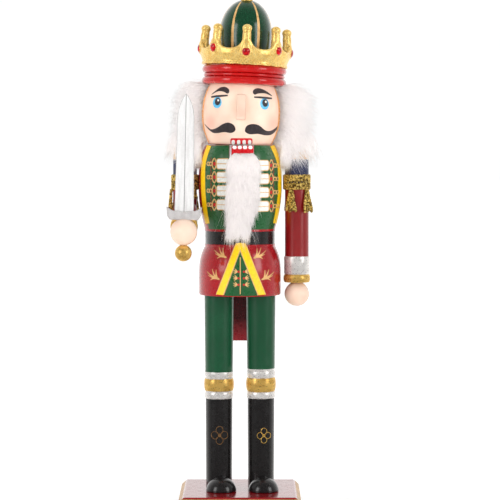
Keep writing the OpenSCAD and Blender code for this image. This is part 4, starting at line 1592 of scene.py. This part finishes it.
def blade():
    """A ridged blade: flat flanks, a fine groove along the ridge and a narrow ground edge; the edges and the
    groove are painted darker grey as painted shade.
    """
    verts = []
    levels = [GUARD_TOP - 0.4 + (BLADE_LEN + 0.2) * sin(radians(a)) for a in range(0, 91, 2)]
    for z in levels:
        w = max(0.12, blade_half(z - GUARD_TOP))
        t = 1.5 * min(1, 0.25 + w / 5)
        groove = min(0.22, w * 0.3)
        edge = min(0.3, w * 0.25)
        front = [(-w, -0.22), (-w + edge, -0.5 * t), (-groove, -t), (0, -t + 0.14), (groove, -t),
                 (w - edge, -0.5 * t), (w, -0.22)]
        section = front + [(x, -y) for x, y in front[::-1]]
        verts += [(x, y, z) for x, y in section]
    # paint 1 on the edges and paint 2 in the groove are painted shade
    strip = [1, 0, 2, 2, 0, 1, 1] * 2
    faces = walls(len(levels), len(strip)) + caps(len(levels), len(strip))
    paints = strip * (len(levels) - 1) + [0, 1]
    shape = Shape().add((verts, faces, paints), place=SWORD)
    shape.build("sword_blade_ground", [BLADE, BLADE_EDGE_SHADE, BLADE_GROOVE_SHADE], "right_arm", "silver_paint",
                ["sword_blade"], sharp=12)


def guard():
    half = GUARD_HALF
    right = [(half - 1.9, GUARD_FOOT), (half - 0.5, GUARD_FOOT + 2.2), (half, GUARD_TIP),
             (half - 2.6, GUARD_TOP + 0.5), (half - 4.3, GUARD_TOP), (2.2, GUARD_TOP),
             (0.4, GUARD_TOP - 0.6)]
    outline = right + [(-x, z) for x, z in right[::-1]]
    depth = 2.6
    count = len(outline)
    verts = [(x, y, z) for y in (-depth, depth) for x, z in outline]
    faces = caps(2, count, flip=True) + walls(2, count, flip=True)
    shape = Shape().add((verts, faces), place=SWORD)
    piece = shape.build("sword_guard_cast", [GUARD], "right_arm", "silver_paint", ["sword_guard"])
    soften(piece, 0.7, 4, 20)


def pommel():
    at = SWORD @ shift(0, 0, -POMMEL_DROP)
    shape = Shape().add(ball(POMMEL_R, POMMEL_R, 36, 64), place=at)
    shape.build("sword_pommel_ball", [GOLD], "right_arm", "gold_paint", ["sword_pommel"])


# ---- hidden parts, stage, lights and camera

def finish_hidden_nodes():
    wooden = ("leg_dowels", "neck_dowels", "hat_dowel", "left_peg", "right_peg", "sword_grip")
    for paint, names in ((WOOD, wooden), (STEEL, ("leg_screws", "pivot_pin"))):
        for name in names:
            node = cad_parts[name]
            if not node.material_slots:
                node.data.materials.append(paint)
            for slot in node.material_slots:
                slot.material = paint


def stage():
    """A white floor that reaches the horizon. It glows as painted light, less near the figure, so the floor
    round the figure is painted a little darker and the figure's own shadow shows.
    """
    mesh = bpy.data.meshes.new("floor")
    far = 30
    mesh.from_pydata([(-far, -far, 0), (far, -far, 0), (far, far, 0), (-far, far, 0)], [], [(0, 1, 2, 3)])
    paper = Paint("paper", roughness=0.9, emission_color=(1, 1, 1, 1))
    away = paper.node("ShaderNodeVectorMath", operation="LENGTH")
    paper.link(paper.spot, away.inputs[0])
    # painted light: the floor's glow, weaker near the figure
    glow = paper.spread(away.outputs["Value"], 0.2, 0.62, 0.1, 0.6)
    paper.link(glow, paper.shader.inputs["Emission Strength"])
    paper.colour(paper.clouds(400, srgb(252, 252, 252), srgb(255, 255, 255)))
    mesh.materials.append(paper.material)
    floor = scene_object("floor", mesh)
    floor.visible_glossy = False


LAMPS_AIM = Vector((0, 0, 170))


def lamp(name, spot, width, height, watts, mirrored=False):
    """A soft rectangle of light, its size in metres, aimed at the middle of the figure."""
    light = bpy.data.lights.new(name, "AREA")
    light.shape = "RECTANGLE"
    light.size, light.size_y = width, height
    light.energy = watts
    thing = scene_object(name, light)
    thing.location = Vector(spot) * MM
    thing.rotation_euler = (LAMPS_AIM - Vector(spot)).to_track_quat("-Z", "Y").to_euler()
    thing.visible_glossy = mirrored


def lights():
    """Six lamps; only the two strips show as highlights in the lacquer."""
    lamp("softbox_left", (-900, -850, 420), 0.5, 0.9, 3.1)
    lamp("softbox_right", (950, -800, 420), 0.5, 0.9, 3.1)
    lamp("strip_left", (-900, -760, 470), 0.42, 0.7, 3.0, True)
    lamp("strip_right", (950, -700, 470), 0.42, 0.7, 3.0, True)
    lamp("front_fill", (0, -1150, 240), 0.5, 0.5, 2.2)
    lamp("softbox_top", (0, -300, 1300), 0.9, 0.9, 5)


def surroundings():
    """Dark in front of the figure and bright behind it, and plain white to the camera."""
    world = bpy.data.worlds.new("studio")
    world.use_nodes = True
    tree = world.node_tree
    seen, lit = tree.nodes["Background"], tree.nodes.new("ShaderNodeBackground")
    seen.inputs["Color"].default_value = (1, 1, 1, 1)
    seen.inputs["Strength"].default_value = 1.02
    lit.inputs["Color"].default_value = (1, 0.99, 0.98, 1)
    way = tree.nodes.new("ShaderNodeSeparateXYZ")
    ramp = tree.nodes.new("ShaderNodeMapRange")
    for socket, number in (("From Min", -0.35), ("From Max", 0.9), ("To Min", 0.12), ("To Max", 1.15)):
        ramp.inputs[socket].default_value = number
    tree.links.new(tree.nodes.new("ShaderNodeTexCoord").outputs["Generated"], way.inputs["Vector"])
    tree.links.new(way.outputs["Y"], ramp.inputs["Value"])
    tree.links.new(ramp.outputs["Result"], lit.inputs["Strength"])
    chooser = tree.nodes.new("ShaderNodeMixShader")
    path = tree.nodes.new("ShaderNodeLightPath")
    tree.links.new(path.outputs["Is Camera Ray"], chooser.inputs["Fac"])
    tree.links.new(lit.outputs["Background"], chooser.inputs[1])
    tree.links.new(seen.outputs["Background"], chooser.inputs[2])
    tree.links.new(chooser.outputs["Shader"], tree.nodes["World Output"].inputs["Surface"])
    bpy.context.scene.world = world
    bpy.context.scene.view_settings.view_transform = "Standard"


CAMERA_SPOT = 5.64, -1060, 197.3


def camera():
    """A long lens a metre away, level, at the height of the chest."""
    data = bpy.data.cameras.new("camera")
    data.sensor_width = 36
    data.lens = 135.4
    data.shift_y = -0.16
    viewer = scene_object("camera", data)
    viewer.location = [c * MM for c in CAMERA_SPOT]
    viewer.rotation_euler = (pi / 2, 0, 0)
    bpy.context.scene.camera = viewer


camera()
lights()
surroundings()
stage()
finish_hidden_nodes()
base()
legs()
coat()
chest_panel()
fastenings()
skirt_paint()
head()
nose()
face()
hat_band()
dome()
finial()
crown()
jewels()
jaw()
hair()
shoulder_wisps()
beard()
left_arm()
right_arm()
trimmings()
blade()
guard()
pommel()
